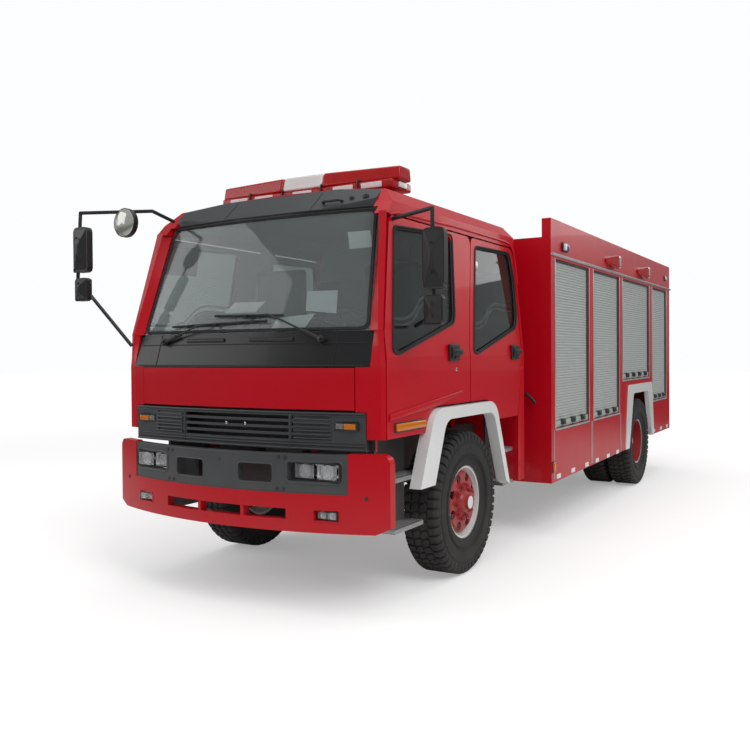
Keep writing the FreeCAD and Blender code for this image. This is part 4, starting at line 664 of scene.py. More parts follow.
def wheelColour(tree, place, alongY, whiteFrom, capTo):  # white hub cap, red disc, white outer rim
    flat = addNode(tree, "SeparateXYZ", {0: place})
    along = mathNode(tree, "SUBTRACT", flat.outputs["Y"], alongY)
    upward = mathNode(tree, "SUBTRACT", flat.outputs["Z"], axleZ)
    radius = mathNode(tree, "SQRT",
                      mathNode(tree, "ADD", mathNode(tree, "POWER", along, 2.0),
                               mathNode(tree, "POWER", upward, 2.0)))
    cap = mathNode(tree, "LESS_THAN", radius, capTo)
    rim = mathNode(tree, "GREATER_THAN", radius, whiteFrom)
    white = mathNode(tree, "MAXIMUM", cap, rim)
    return mixColour(tree, white, (*finishes["wheelRed"]["colour"], 1), (*finishes["whitePaint"]["colour"], 1))


def dressWheels():
    track = {"front": 0.945, "rear": 1.080, "twinGap": 0.320, "frontDisc": 1.040, "rearDisc": 0.932,
             "frontWhite": 0.232, "rearWhite": 0.254, "cap": 0.046}
    front = makeTyre("tyreFrontLeft", track["front"], axleY)
    outer = makeTyre("tyreRearLeft", track["rear"], rearY)
    inner = copyPiece(outer, "tyreRearInner", (-track["twinGap"], 0, 0))
    frontRight = mirrorPiece(front, "tyreFrontRight")
    rear = joinPieces("tyreRearLeft", [outer, inner])
    rearRight = mirrorPiece(rear, "tyreRearRight")
    for piece, body, node in ((front, "front_wheel_left", "front_tyre_left"),
                              (frontRight, "front_wheel_right", "front_tyre_right"),
                              (rear, "rear_wheels_left", "rear_tyres_left"),
                              (rearRight, "rear_wheels_right", "rear_tyres_right")):
        finishPiece(piece, materials["tyreRubber"], body)
        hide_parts(node)
    for label, place, body, faceX in (("Front", axleY, "front_wheel_", track["frontDisc"]),
                                      ("Rear", rearY, "rear_wheels_", track["rearDisc"])):
        nuts = makeNuts("nuts" + label, faceX, place, 1)
        left, right = bothSides(nuts, "nuts" + label + "Left", "nuts" + label + "Right")
        finishPiece(left, materials["wheelRed"], body + "left")
        finishPiece(right, materials["wheelRed"], body + "right")
    for label, end, place, whiteFrom in (("rimFront", "front_rim_", axleY, track["frontWhite"]),
                                         ("rimRear", "rear_rims_", rearY, track["rearWhite"])):
        paint = makeFinish(label, values=finishes["wheelRed"],
                           colourFrom=lambda tree, spot: wheelColour(tree, spot, place, whiteFrom, track["cap"]))
        for side in ("left", "right"):
            data = frame["nodes"][end + side].data
            data.materials.clear()
            data.materials.append(paint)


dressWheels()
print("wheels dressed")


# Body sides: slatted shutters, rails, latches, marker lamps and strips

# For each shutter: front and rear edge behind the front axle, sill height, latches
shutterBays = ((1.520, 2.540, 0.945, 3), (2.700, 3.700, 0.945, 3), (3.850, 5.160, 1.305, 4), (5.340, 6.200, 0.990, 3))


def makeCurtain(name, near, far, low, faceX):
    slat = {"pitch": 0.0250, "proud": 0.0050, "lip": 0.0035}
    gap, pitch, proud = 0.012, slat["pitch"], slat["proud"]
    base = low + 0.062
    shape = [(faceX, base), (faceX + proud * 0.55, base + slat["lip"]), (faceX + proud, base + pitch * 0.36),
             (faceX + proud, base + pitch * 0.68), (faceX + proud * 0.55, base + pitch - slat["lip"]),
             (faceX, base + pitch - 0.001)]
    strip = addPanel(name, [(x, near + gap, z) for x, z in shape], (0, far - near - 2 * gap, 0), edge=0)
    useModifier(strip, "ARRAY", count=int((2.447 - base) / pitch), use_relative_offset=False,
                use_constant_offset=True,
                constant_offset_displace=(0, 0, pitch))
    bottom = addBlock("bottomBar", (faceX, near + gap, low + 0.004), (faceX + 0.017, far - gap, low + 0.058), 0.004)
    hook = addBlock("pullLip", (faceX + 0.013, near + 0.05, low + 0.020), (faceX + 0.024, far - 0.05, low + 0.027),
                    0.003)
    return joinPieces(name, [strip, bottom, hook])


def makeLatches(name, near, far, low, count, faceX):
    latch = {"width": 0.098, "height": 0.050, "depth": 0.024}
    parts = []
    for index in range(count):
        centre = near + (far - near) * (index + 0.5) / count
        half = latch["width"] / 2
        top = low + 0.024 + latch["height"]
        parts.append(addBlock("latchBody", (faceX, centre - half, low + 0.020),
                              (faceX + latch["depth"], centre + half, top), 0.007, 3))
        parts.append(addBlock("latchLever", (faceX + 0.014, centre - half * 0.8, low + 0.026),
                              (faceX + 0.036, centre + half * 0.35, low + 0.058), 0.008, 3))
        parts.append(addRod("latchKey", (faceX + 0.016, centre + half * 0.62, low + 0.041),
                            (faceX + 0.026, centre + half * 0.62, low + 0.041), 0.008, 16, 0.001))
        parts.append(addBlock("latchKeeper", (faceX - 0.004, centre - half * 1.3, low - 0.030),
                              (faceX + 0.012, centre + half * 1.3, low + 0.006), 0.004))
    return joinPieces(name, parts)


def makeGuides(name, near, far, low, faceX):
    parts = []
    for inner, outer in ((near, near + 0.020), (far - 0.020, far)):
        parts.append(addBlock("guide", (faceX - 0.004, inner, low), (faceX + 0.020, outer, 2.450), 0.003))
        parts.append(addBlock("brush", (faceX - 0.002, inner + (0.016 if inner == near else -0.006), low + 0.06),
                              (faceX + 0.012, outer + (0.006 if inner == near else -0.016), 2.446), 0.002))
    parts.append(addBlock("headSeal", (faceX, near + 0.02, 2.432), (faceX + 0.014, far - 0.02, 2.449), 0.003))
    return joinPieces(name, parts)


def dressSides():
    edgeX, faceX = 1.239, 1.2152  # the panel's outer face and the curtain's
    for index, (near, far, low, count) in enumerate(shutterBays):
        start, end = behind(near), behind(far)
        made = (("curtain", makeCurtain("curtain", start, end, low, faceX), "curtainMetal", "shutter"),
                ("latches", makeLatches("latches", start + 0.06, end - 0.06, low, count, edgeX - 0.011),
                 "blackPlastic", "dark_trim"),
                ("guides", makeGuides("guides", start, end, low, faceX), "darkTrim", "dark_trim"))
        for label, piece, finish, slot in made:
            number = str(index + 1)
            for twin in bothSides(piece, label + "Left" + number, label + "Right" + number):
                finishPiece(twin, materials[finish])
    front, tail = behind(1.407), behind(6.416)
    rail = [(edgeX - 0.002, 2.474), (edgeX + 0.016, 2.474), (edgeX + 0.020, 2.480), (edgeX + 0.020, 2.494),
            (edgeX + 0.015, 2.494), (edgeX + 0.013, 2.483), (edgeX + 0.002, 2.486), (edgeX - 0.002, 2.494)]
    rails = addPanel("dripRail", [(x, front, z) for x, z in rail], (0, tail - front, 0), edge=0.001, segments=1)
    strips = [rails]
    for station, low in ((1.480, 0.50), (2.620, 0.50), (2.655, 0.50), (3.755, 0.50), (5.250, 0.56)):
        y = behind(station)
        strips.append(addBlock("seamStrip", (edgeX - 0.001, y - 0.007, low), (edgeX + 0.0035, y + 0.007, 0.930),
                               0.0015))
    for near, far, low, count in shutterBays:
        strips.append(addBlock("sillStrip", (edgeX - 0.001, behind(near) - 0.01, low - 0.020),
                               (edgeX + 0.007, behind(far) + 0.01, low - 0.004), 0.003))
        for y in (behind(near) - 0.014, behind(far) + 0.002):
            strips.append(addBlock("jambStrip", (edgeX - 0.001, y, low - 0.004), (edgeX + 0.0045, y + 0.012, 2.456),
                                   0.002))
    for twin in bothSides(joinPieces("sideRails", strips), "sideRailsLeft", "sideRailsRight"):
        finishPiece(twin, materials["aluminium"])
    patches = []
    for station, low in ((1.60, 0.492), (2.02, 0.492), (2.46, 0.492), (2.82, 0.492), (3.24, 0.492), (3.62, 0.492),
                         (5.44, 0.572), (5.86, 0.572), (6.24, 0.572)):
        y = behind(station)
        patches.append(addBlock("patch", (edgeX - 0.0005, y - 0.055, low), (edgeX + 0.0015, y + 0.055, low + 0.040),
                                0.0006, 1))
    for twin in bothSides(joinPieces("patches", patches), "patchesLeft", "patchesRight"):
        finishPiece(twin, materials["reflectiveWhite"])
    dressFascia(edgeX)


def makeBeacon(name, station, edgeX):  # a faired lamp, drawn out toward the front
    y, z = behind(station), 2.590
    shell = addBlock(name, (edgeX - 0.010, y - 0.190, z - 0.078), (edgeX + 0.094, y + 0.104, z + 0.078), 0.0)
    for test, size, shift in ((lambda c, n: n.y < -0.9, (0.20, 1, 0.30), (-0.034, 0, 0)),
                              (lambda c, n: n.y > 0.9, (0.9, 1, 0.96), (-0.004, 0, 0))):
        pickFaces(shell, test)
        bpy.ops.transform.resize(value=size)
        bpy.ops.transform.translate(value=shift)
        bpy.ops.object.mode_set(mode="OBJECT")
    shell = roundEdges(shell, 0.020, 2)
    useModifier(shell, "SUBSURF", levels=2, render_levels=2)
    makeActive(shell)
    bpy.ops.object.shade_smooth()
    return shell


def dressFascia(edgeX):
    fascia = {"beacons": (3.33, 4.72), "strobe": 1.773, "tail": 6.106, "corner": 1.452}
    lamps, lenses, blues, bodies, edges = [], [], [], [], []
    for station in fascia["beacons"]:
        lamps.append(makeBeacon("fairing", station, edgeX - 0.001))
        y = behind(station)
        edges.append(addBlock("lensRim", (edgeX - 0.001, y + 0.088, 2.521), (edgeX + 0.090, y + 0.128, 2.659), 0.020,
                              4))
    strobeY = behind(fascia["strobe"])
    bodies.append(addBlock("strobeBase", (edgeX - 0.001, strobeY - 0.072, 2.532),
                           (edgeX + 0.014, strobeY + 0.072, 2.616), 0.008, 3))
    lenses.append(addBlock("strobeWhite", (edgeX + 0.010, strobeY - 0.060, 2.543),
                           (edgeX + 0.034, strobeY - 0.002, 2.605), 0.010, 3))
    blues.append(addBlock("strobeBlue", (edgeX + 0.010, strobeY + 0.000, 2.543),
                          (edgeX + 0.034, strobeY + 0.060, 2.605), 0.010, 3))
    tailY = behind(fascia["tail"])
    bodies.append(addBlock("tailBase", (edgeX - 0.001, tailY - 0.050, 2.590), (edgeX + 0.012, tailY + 0.050, 2.652),
                           0.006, 3))
    lenses.append(addBlock("tailGlobe", (edgeX + 0.008, tailY - 0.040, 2.598), (edgeX + 0.028, tailY + 0.040, 2.644),
                           0.009, 3))
    cornerY = behind(fascia["corner"])
    bodies.append(addBlock("cornerBase", (edgeX - 0.001, cornerY - 0.028, 0.560),
                           (edgeX + 0.006, cornerY + 0.028, 0.660), 0.005, 3))
    amber = addBlock("cornerGlobe", (edgeX + 0.004, cornerY - 0.023, 0.567), (edgeX + 0.020, cornerY + 0.023, 0.653),
                     0.007, 3)
    made = (("beacons", lamps, "lensRed", "lamp_red"), ("beaconEdges", edges, "chrome", "lamp_clear"),
            ("clearMarkers", lenses, "lensWhite", "lamp_clear"), ("strobes", blues, "lensBlue", None),
            ("lampBases", bodies, "blackPlastic", "dark_trim"), ("cornerMarkers", [amber], "lensAmber", None))
    for label, group, finish, slot in made:
        for twin in bothSides(joinPieces(label, group), label + "Left", label + "Right"):
            finishPiece(twin, materials[finish])


dressSides()
print("body sides dressed")


# Cab front: cowl, glass seal, wipers, visor, grille and bumper lamps

def faceY(name, x, z, fallback=0.0):  # where a node's front face stands at x and z
    hit, place, normal, face = frame["nodes"][name].ray_cast(Vector((x, -6, z)), Vector((0, 1, 0)))
    return place.y if hit else fallback


def bowedRun(name, places, z, probe, proud=0.0):  # points along a bowed face, at height z
    return [(x, faceY(name, x, probe, -3.8) - proud, z) for x in places]


def glassPoint(x, z, proud=0.0):  # a place on the windshield's outer face
    return (x, faceY("windshield", x, z, -3.6) - proud, z)


def addHousing(name, low, high, rim, depth, edge=0.004):  # a box with a hollowed front
    piece = addBlock(name, low, high, 0)
    pickFaces(piece, lambda centre, normal: normal.y < -0.9)
    bpy.ops.mesh.inset(thickness=rim)
    bpy.ops.mesh.extrude_region_move(TRANSFORM_OT_translate={"value": (0, depth, 0)})
    bpy.ops.mesh.inset(thickness=rim * 0.5)
    bpy.ops.object.mode_set(mode="OBJECT")
    return roundEdges(piece, edge, 2)


def addBowl(name, centre, radius, depth):  # a reflector that opens forward
    x, y, z = centre
    profile = [(x + radius, y, z), (x + radius * 0.97, y + depth * 0.25, z), (x + radius * 0.82, y + depth * 0.6, z),
               (x + radius * 0.5, y + depth * 0.9, z), (x + radius * 0.18, y + depth, z), (x + 0.001, y + depth, z)]
    return addSpun(name, profile, centre, (0, 1, 0), steps=32)


def makeWindshieldSeal():
    seal = {"radius": 0.008, "low": 1.777, "high": 2.560, "wide": 0.955, "narrow": 0.878}
    spread = (-1, -0.66, -0.33, 0, 0.33, 0.66, 1)
    low = [glassPoint(share * seal["wide"], seal["low"], 0.002) for share in spread]
    high = [glassPoint(share * seal["narrow"], seal["high"], 0.002) for share in reversed(spread)]
    outer = addPipe("glassSeal", low + high, seal["radius"], bend=0.045, sides=4, closed=True)
    low = [glassPoint(share * (seal["wide"] - 0.010), seal["low"] + 0.010, 0.004) for share in spread]
    high = [glassPoint(share * (seal["narrow"] - 0.010), seal["high"] - 0.010, 0.004) for share in reversed(spread)]
    trim = addPipe("sealLip", low + high, 0.004, bend=0.045, sides=3, closed=True)
    finishPiece(joinPieces("glassSeal", [outer, trim]), materials["rubber"])


def makeWiper(name, pivotX, elbow, bladeLow, bladeHigh):
    pivot = Vector((pivotX, faceY("windshield_surround", pivotX, 1.712, -3.76) - 0.010, 1.712))
    elbowAt = Vector(glassPoint(*elbow, 0.040))
    low, high = Vector(glassPoint(*bladeLow, 0.018)), Vector(glassPoint(*bladeHigh, 0.018))
    along = (high - low).normalized()
    bossEnds = pivot + Vector((0, 0.030, -0.006)), pivot + Vector((0, -0.026, 0.006))
    nutEnds = pivot + Vector((0, -0.024, 0.005)), pivot + Vector((0, -0.038, 0.009))
    parts = [addRod("wiperBoss", *bossEnds, 0.024, 24, 0.004), addRod("wiperNut", *nutEnds, 0.012, 6, 0.002)]
    reach = pivot.lerp(elbowAt, 0.30)
    parts.append(addPipe("wiperHead", [pivot + Vector((0, -0.012, 0)), reach + Vector((0, -0.010, 0.004))], 0.013,
                         sides=3))
    bend = pivot.lerp(elbowAt, 0.75) + Vector((0, -0.014, 0.010))
    parts.append(addPipe("wiperArm", [reach + Vector((0, -0.010, 0.004)), bend, elbowAt], 0.0065, sides=3))
    parts.append(addPipe("wiperSpring", [pivot.lerp(elbowAt, 0.12) + Vector((0, -0.004, -0.004)),
                                         pivot.lerp(elbowAt, 0.42) + Vector((0, -0.004, -0.004))], 0.005, sides=2))
    parts.append(addPipe("bladeRubber", [low, low.lerp(high, 0.5), high], 0.0055, sides=2))
    middle = low.lerp(high, 0.5)
    spine = [low + Vector((0, -0.006, 0.006)), middle + Vector((0, -0.010, 0.008)), high + Vector((0, -0.006, 0.006))]
    parts.append(addPipe("bladeSpine", spine, 0.0045, sides=2))
    span = (high - low).length
    for share in (0.30, 0.16):  # the yokes that press on the blade
        lift = 0.026 if share > 0.2 else 0.018
        for side in (-1, 1):
            centre = middle + along * side * span * (0.25 if share < 0.2 else 0.0)
            parts.append(addPipe("yoke", [centre + along * span * share * side, centre + Vector((0, -lift, 0.008)),
                                          centre - along * span * share * side * 0.2], 0.0050, sides=2))
    parts.append(addRod("bladeClip", middle + Vector((0, -0.034, 0)), middle + Vector((0, 0.002, 0)), 0.011, 16,
                        0.002))
    finishPiece(joinPieces(name, parts), materials["blackPlastic"])


def dressCowl():
    pads = []
    for x0, x1 in ((-0.47, -0.12), (0.10, 0.44)):  # rubber-edged vent pads below the glass
        points = bowedRun("windshield_surround", (x0, (x0 + x1) / 2, x1), 1.716, 1.716, -0.004)
        pads.append(addPipe("ventPad", points, 0.016, bend=0.1, sides=4))
    finishPiece(joinPieces("cowlPads", pads), materials["blackPlastic"])
    lines = []
    for x in (-0.755, 0.755):
        heights = (1.546, 1.60, 1.66, 1.70, 1.74, 1.76)
        points = [(x, faceY("windshield_surround", x, z, -3.7) - 0.0014, z) for z in heights]
        lines.append(addPipe("cowlSeam", points, 0.0022, bend=0.01, sides=2))
    spread = [share / 8 * 0.96 for share in range(-8, 9)]
    lines.append(addPipe("cowlStep", bowedRun("windshield_surround", spread, 1.690, 1.690, 0.0008), 0.0035, bend=0.05,
                         sides=2))
    lines.append(addPipe("cowlBeading", bowedRun("windshield_surround", spread, 1.548, 1.552, 0.0005), 0.0045,
                         bend=0.05, sides=2))
    finishPiece(joinPieces("cowlSeams", lines), materials["rubber"])
    makeWiper("wiperRight", -0.690, (-0.29, 1.83), (-0.64, 1.815), (0.225, 1.838))
    makeWiper("wiperLeft", 0.660, (0.225, 1.885), (-0.235, 1.882), (0.345, 1.872))


def visorPoint(x, z, proud=0.0):  # on the dark panel above the glass
    return Vector((x, faceY("windshield_surround", x, z, -3.45) - proud, z))


def dressVisor():
    heights = (2.582, 2.61, 2.64, 2.67, 2.70, 2.725)
    parts = []
    for x in (-0.375, 0.375):
        parts.append(addPipe("visorSeam", [visorPoint(x, z, 0.0012) for z in heights], 0.0024, bend=0.02, sides=2))
    grip = [visorPoint(0.455, 2.636), visorPoint(0.462, 2.640, 0.034), visorPoint(0.600, 2.640, 0.034),
            visorPoint(0.607, 2.636)]
    parts.append(addPipe("visorGrip", grip, 0.0085, bend=0.02, sides=3))
    for x, radius in ((0.672, 0.020), (0.782, 0.024)):
        foot, tip = visorPoint(x, 2.645, -0.004), visorPoint(x, 2.649, 0.012)
        parts.append(addRod("visorPlug", foot, tip, radius, 28, 0.004))
        parts.append(addRod("plugCentre", tip, tip + (tip - foot) * 0.35, radius * 0.45, 20, 0.002))
    lip = [visorPoint(share * 0.86 / 8, 2.580, 0.003) for share in range(-8, 9)]
    parts.append(addPipe("visorLip", lip, 0.007, bend=0.05, sides=3))
    finishPiece(joinPieces("visorDetails", parts), materials["blackPlastic"])


def dressGrille():
    ribs = []
    spread = [share / 12 * 0.968 for share in range(-12, 13)]
    for z, radius in ((1.252, 0.0070), (1.236, 0.0040), (1.070, 0.0040), (1.052, 0.0050), (1.027, 0.0075)):
        ribs.append(addPipe("grilleRib", bowedRun("grille", spread, z, 1.045, 0.001), radius, bend=0.02, sides=3))
    for side in (-1, 1):
        for row in range(6):
            along = [side * x for x in (0.475, 0.56, 0.65, 0.745)]
            points = bowedRun("grille", along, 1.092 + 0.024 * row, 1.045, 0.0005)
            ribs.append(addPipe("endRib", points, 0.0062, bend=0.02, sides=3))
        x = side * 0.452
        y = faceY("grille", x, 1.045, -3.8)
        ribs.append(addBlock("grillePost", (x - 0.005, y - 0.006, 1.026), (x + 0.005, y + 0.012, 1.254), 0.003, 3))
        y = faceY("grille", side * 0.61, 1.045, -3.8)
        low, high = sorted((side * 0.47, side * 0.752))
        corners = ((low, 1.082), (high, 1.082), (high, 1.232), (low, 1.232))
        outline = [(x, faceY("grille", x, 1.045) + 0.006, z) for x, z in corners]
        ribs.append(addPanel("endPanel", outline, (0, 0.008, 0), edge=0.001))
    finishPiece(joinPieces("grilleRibs", ribs), materials["darkTrim"])
    screws = []
    for x in (-0.06, 0.10):
        y = faceY("grille", x, 1.045, -3.82)
        screws.append(addRod("grilleScrew", (x, y - 0.004, 1.172), (x, y + 0.02, 1.172), 0.009, 20, 0.002))
    finishPiece(joinPieces("grilleScrews", screws), materials["chrome"])


def makeTurnLamp():
    face = faceY("grille", 0.76, 1.045, -3.76) - 0.004
    frameRim = addHousing("turnRim", (0.767, face, 1.149), (0.930, face + 0.045, 1.198), 0.005, 0.012, 0.003)
    clear = addBlock("turnClear", (0.773, face + 0.002, 1.155), (0.831, face + 0.016, 1.192), 0.005, 3)
    amber = addBlock("turnAmber", (0.834, face + 0.002, 1.155), (0.924, face + 0.016, 1.192), 0.005, 3)
    shine = addBlock("turnShine", (0.773, face + 0.018, 1.155), (0.924, face + 0.022, 1.192), 0.002)
    return {"rims": [frameRim], "clear": [clear], "amber": [amber], "chrome": [shine]}


def makeFrontLamps():
    made = makeTurnLamp()
    head = {"low": (0.508, -3.862, 0.842), "high": (0.857, -3.792, 0.949), "lensY": -3.866, "bulbY": -3.826,
            "middle": 0.8955, "bowls": (0.600, 0.768), "bowl": 0.046, "ring": 0.052}
    made["rims"].append(addHousing("headRim", head["low"], head["high"], 0.006, 0.050, 0.004))
    lensY, bulbY, z = head["lensY"], head["bulbY"], head["middle"]
    for centre in head["bowls"]:
        made["chrome"].append(addBowl("headBowl", (centre, lensY + 0.016, z), head["bowl"], 0.040))
        made["chrome"].append(addRod("headBulb", (centre, bulbY + 0.006, z), (centre, bulbY - 0.014, z), 0.009, 16,
                                     0.003))
        ring = [(centre + head["bowl"], lensY + 0.012, z), (centre + head["ring"], lensY + 0.010, z),
                (centre + head["ring"], lensY + 0.024, z), (centre + head["bowl"], lensY + 0.024, z)]
        made["rims"].append(addSpun("bowlRing", ring, (centre, lensY, z), (0, 1, 0), steps=32))
        lens = addBlock("headLens", (centre - 0.072, lensY, 0.852), (centre + 0.072, lensY + 0.010, 0.939), 0.010, 4)
        made["clear"].append(lens)
    made["chrome"].append(addBlock("headFoil", (0.520, -3.822, 0.850), (0.846, -3.816, 0.941), 0.002))
    fog = {"low": (0.690, -3.858, 0.604), "high": (0.836, -3.816, 0.658), "bowls": (0.728, 0.797), "bowl": 0.022}
    made["rims"].append(addHousing("fogRim", fog["low"], fog["high"], 0.005, 0.030, 0.003))
    for centre in fog["bowls"]:
        made["chrome"].append(addBowl("fogBowl", (centre, -3.848, 0.631), fog["bowl"], fog["bowl"]))
        made["clear"].append(addBlock("fogLens", (centre - 0.032, -3.861, 0.610), (centre + 0.032, -3.853, 0.652),
                                      0.005, 3))
    finishes = (("rims", "blackPlastic", "dark_trim"), ("clear", "lensClear", "lamp_clear"),
                ("amber", "lensAmber", None),
                ("chrome", "chrome", "lamp_clear"))
    for key, finish, slot in finishes:
        piece = joinPieces("lamp" + key.title(), made[key])
        for twin in bothSides(piece, "frontLamp" + key.title() + "Left", "frontLamp" + key.title() + "Right"):
            finishPiece(twin, materials[finish])


def makeTailLamps():
    rear, low, high = 3.924, 0.698, 0.802  # the rear wall's face, and the lamp's lower and upper edge
    rim = [addBlock("tailRim", (0.858, rear - 0.002, low), (1.152, rear + 0.012, high), 0.006, 3)]
    rim += [addRod("tailScrew", (x, rear + 0.010, z), (x, rear + 0.016, z), 0.005, 12, 0.001)
            for x in (0.864, 1.146) for z in (low + 0.006, high - 0.006)]
    made = [("tailRim", rim, "blackPlastic")]
    for label, near, far, finish in (("tailRed", 0.866, 0.958, "lensRed"), ("tailAmber", 0.961, 1.050, "lensAmber"),
                                     ("tailWhite", 1.053, 1.144, "lensWhite")):
        lens = addBlock(label, (near, rear + 0.008, low + 0.008), (far, rear + 0.028, high - 0.008), 0.008, 3)
        made.append((label, [lens], finish))
    for label, group, finish in made:
        for twin in bothSides(joinPieces(label, group), label + "Left", label + "Right"):
            finishPiece(twin, materials[finish])
            if label == "tailRed":
                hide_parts("lamps")


def roundedRing(node, x0, x1, z0, z1, probe, proud=-0.003):  # points round an opening in a bowed face
    places = [(x0 + (x1 - x0) * share, z0) for share in (0.02, 0.35, 0.65, 0.98)]
    places += [(x1 - (x1 - x0) * share, z1) for share in (0.02, 0.35, 0.65, 0.98)]
    return [(x, faceY(node, x, probe, -3.9) - proud, z) for x, z in places]


def dressBumper():
    bolts = []
    for x, z in ((0.448, 0.982), (0.494, 0.982), (0.436, 0.784), (0.482, 0.784)):
        for side in (-1, 1):
            y = faceY("bumper_beam", side * x, 0.790, -3.93)
            bolts.append(addRod("beamBolt", (side * x, y + 0.01, z), (side * x, y - 0.006, z), 0.010, 6, 0.0015))
            bolts.append(addRod("boltWasher", (side * x, y + 0.01, z), (side * x, y - 0.0015, z), 0.0135, 24, 0.0005))
    for x, z, radius in ((0.0, 0.948, 0.012), (-0.12, 0.984, 0.005), (0.11, 0.984, 0.005)):
        y = faceY("bumper_beam", x, 0.790, -3.96)
        bolts.append(addRod("beamPlug", (x, y + 0.01, z), (x, y - 0.0012, z), radius, 20, 0.001))
    finishPiece(joinPieces("bumperBolts", bolts), materials["blackPlastic"])
    rims = []
    for x0, x1 in ((0.138, 0.412), (-0.412, -0.138)):
        rims.append(addPipe("slotRim", roundedRing("bumper_beam", x0, x1, 0.816, 0.940, 0.790), 0.0060, bend=0.030,
                            sides=3, closed=True))
    for x0, x1 in ((0.494, 0.872), (-0.872, -0.494)):
        ring = roundedRing("bumper_beam", x0, x1, 0.828, 0.963, 0.790, -0.001)
        rims.append(addPipe("headBezel", ring, 0.0075, bend=0.034, sides=3, closed=True))
    spread = [share / 12 * 0.893 for share in range(-12, 13)]
    rims.append(addPipe("beamLip", bowedRun("bumper_beam", spread, 1.000, 0.790, -0.0046), 0.0060, bend=0.02,
                        sides=3))
    finishPiece(joinPieces("bumperRims", rims), materials["darkTrim"])
    red = []
    spread = [share / 8 * 0.52 for share in range(-8, 9)]
    red.append(addPipe("intakeLip", bowedRun("bumper_cover", spread, 0.594, 0.560, -0.0062), 0.006, bend=0.03,
                       sides=3))
    red.append(addPipe("intakeBrow", bowedRun("bumper_cover", spread, 0.671, 0.560, -0.0062), 0.006, bend=0.03,
                       sides=3))
    for side in (-1, 1):
        ring = roundedRing("bumper_cover", side * 0.676, side * 0.848, 0.594, 0.668, 0.560, -0.001)
        red.append(addPipe("fogBrow", ring, 0.005, bend=0.012, sides=3, closed=True))
    finishPiece(joinPieces("intakeLips", red), materials["redPaint"])
    holes = []
    for side in (-1, 1):
        y = faceY("bumper_cover", side * 1.005, 0.745, -3.75)
        holes.append(addRod("endPlug", (side * 1.005, y + 0.012, 0.745), (side * 1.005, y - 0.003, 0.745), 0.014, 24,
                            0.002))
    finishPiece(joinPieces("endPlugs", holes), materials["rubber"])


makeWindshieldSeal()
dressCowl()
dressVisor()
dressGrille()
makeFrontLamps()
makeTailLamps()
dressBumper()
print("cab front dressed")


# Cab sides: window seals, handles, locks, creases and inner trim on each door

doorSets = {
    "front": {"window": ((-1.112, 1.632), (-1.040, 1.615), (-0.200, 1.835), (-0.172, 1.900), (-0.100, 2.480),
                         (-0.960, 2.436)),
              "handle": -0.250,
              "trim": ((-1.09, 1.845), (-0.86, 1.842), (-0.72, 1.875), (-0.60, 1.985), (-0.50, 2.015),
                       (-0.14, 2.005)),
              "lock": (-0.215, 1.505), "body": "front_door_"},
    "rear": {"window": ((0.100, 1.632), (0.156, 1.612), (0.990, 1.826), (1.040, 1.925), (1.052, 2.250),
                        (1.000, 2.462), (0.300, 2.442)),
             "handle": 0.914,
             "trim": ((0.13, 1.850), (0.33, 1.848), (0.46, 1.885), (0.58, 1.990), (0.68, 2.020), (1.02, 2.010)),
             "lock": None, "body": "rear_door_"},
}


def finishDoorPiece(piece, label, finish, body):
    for twin, side in zip(bothSides(piece, label + "Left", label + "Right"), ("left", "right")):
        finishPiece(twin, materials[finish], body + side)


def dressDoor(name, door):
    ring = [(leanX(z) + 0.001, behind(b), z) for b, z in door["window"]]
    seal = addPipe("seal", ring, 0.0075, bend=0.045, sides=4, closed=True)
    middle = Vector((0, sum(p[1] for p in ring) / len(ring), sum(p[2] for p in ring) / len(ring)))
    inner = []
    for x, y, z in ring:
        toward = (middle - Vector((0, y, z))).normalized() * 0.015
        inner.append((x - 0.010, y + toward.y, z + toward.z))
    lip = addPipe("lip", inner, 0.008, bend=0.045, sides=3, closed=True)
    finishDoorPiece(joinPieces("seal", [seal, lip]), name + "WindowSeal", "rubber", door["body"])
    y, z = behind(door["handle"]), 1.625
    x = leanX(z) - 0.002
    cup = addBlock("cup", (x, y - 0.086, z - 0.060), (x + 0.022, y + 0.074, z + 0.060), 0.018, 4)
    pull = addBlock("pull", (x + 0.012, y - 0.046, z - 0.022), (x + 0.044, y + 0.088, z + 0.028), 0.016, 4)
    pivot = addRod("pivot", (x + 0.026, y - 0.056, z - 0.038), (x + 0.026, y - 0.056, z + 0.038), 0.013, 20, 0.003)
    finger = addBlock("finger", (x + 0.020, y - 0.016, z - 0.046), (x + 0.028, y + 0.054, z - 0.026), 0.004, 2)
    finishDoorPiece(joinPieces("handle", [cup, pull, pivot, finger]), name + "Handle", "blackPlastic", door["body"])
    if door["lock"]:
        b, z = door["lock"]
        barrel = addRod("barrel", (leanX(z) - 0.001, behind(b), z), (leanX(z) + 0.006, behind(b), z), 0.012, 24,
                        0.002)
        slot = addBlock("keyway", (leanX(z) + 0.005, behind(b) - 0.0015, z - 0.007),
                        (leanX(z) + 0.0075, behind(b) + 0.0015, z + 0.007), 0.0006)
        finishDoorPiece(joinPieces("lock", [barrel, slot]), name + "Lock", "chrome", door["body"])
    lines = []
    for offset, radius in ((0.0, 0.011), (-0.042, 0.009)):
        points = [(leanX(z + offset) - 0.052, behind(b), z + offset) for b, z in door["trim"]]
        lines.append(addPipe("trimLine", points, radius, bend=0.06, sides=3))
    finishDoorPiece(joinPieces("trim", lines), name + "InnerTrim", "aluminium", door["body"])
    low = min(z for b, z in door["window"])
    card = [(behind(b), z) for b, z in door["trim"]]
    points = [(leanX(z) - 0.072, y, z - 0.05) for y, z in card]
    points += [(leanX(low) - 0.072, card[-1][0], 1.45), (leanX(low) - 0.072, card[0][0], 1.45)]
    panel = addPanel("card", [(points[0][0], y, z) for x, y, z in points], (-0.016, 0, 0), edge=0.004)
    finishDoorPiece(panel, name + "DoorCard", "dashPlastic", door["body"])


for label, door in doorSets.items():
    dressDoor(label, door)


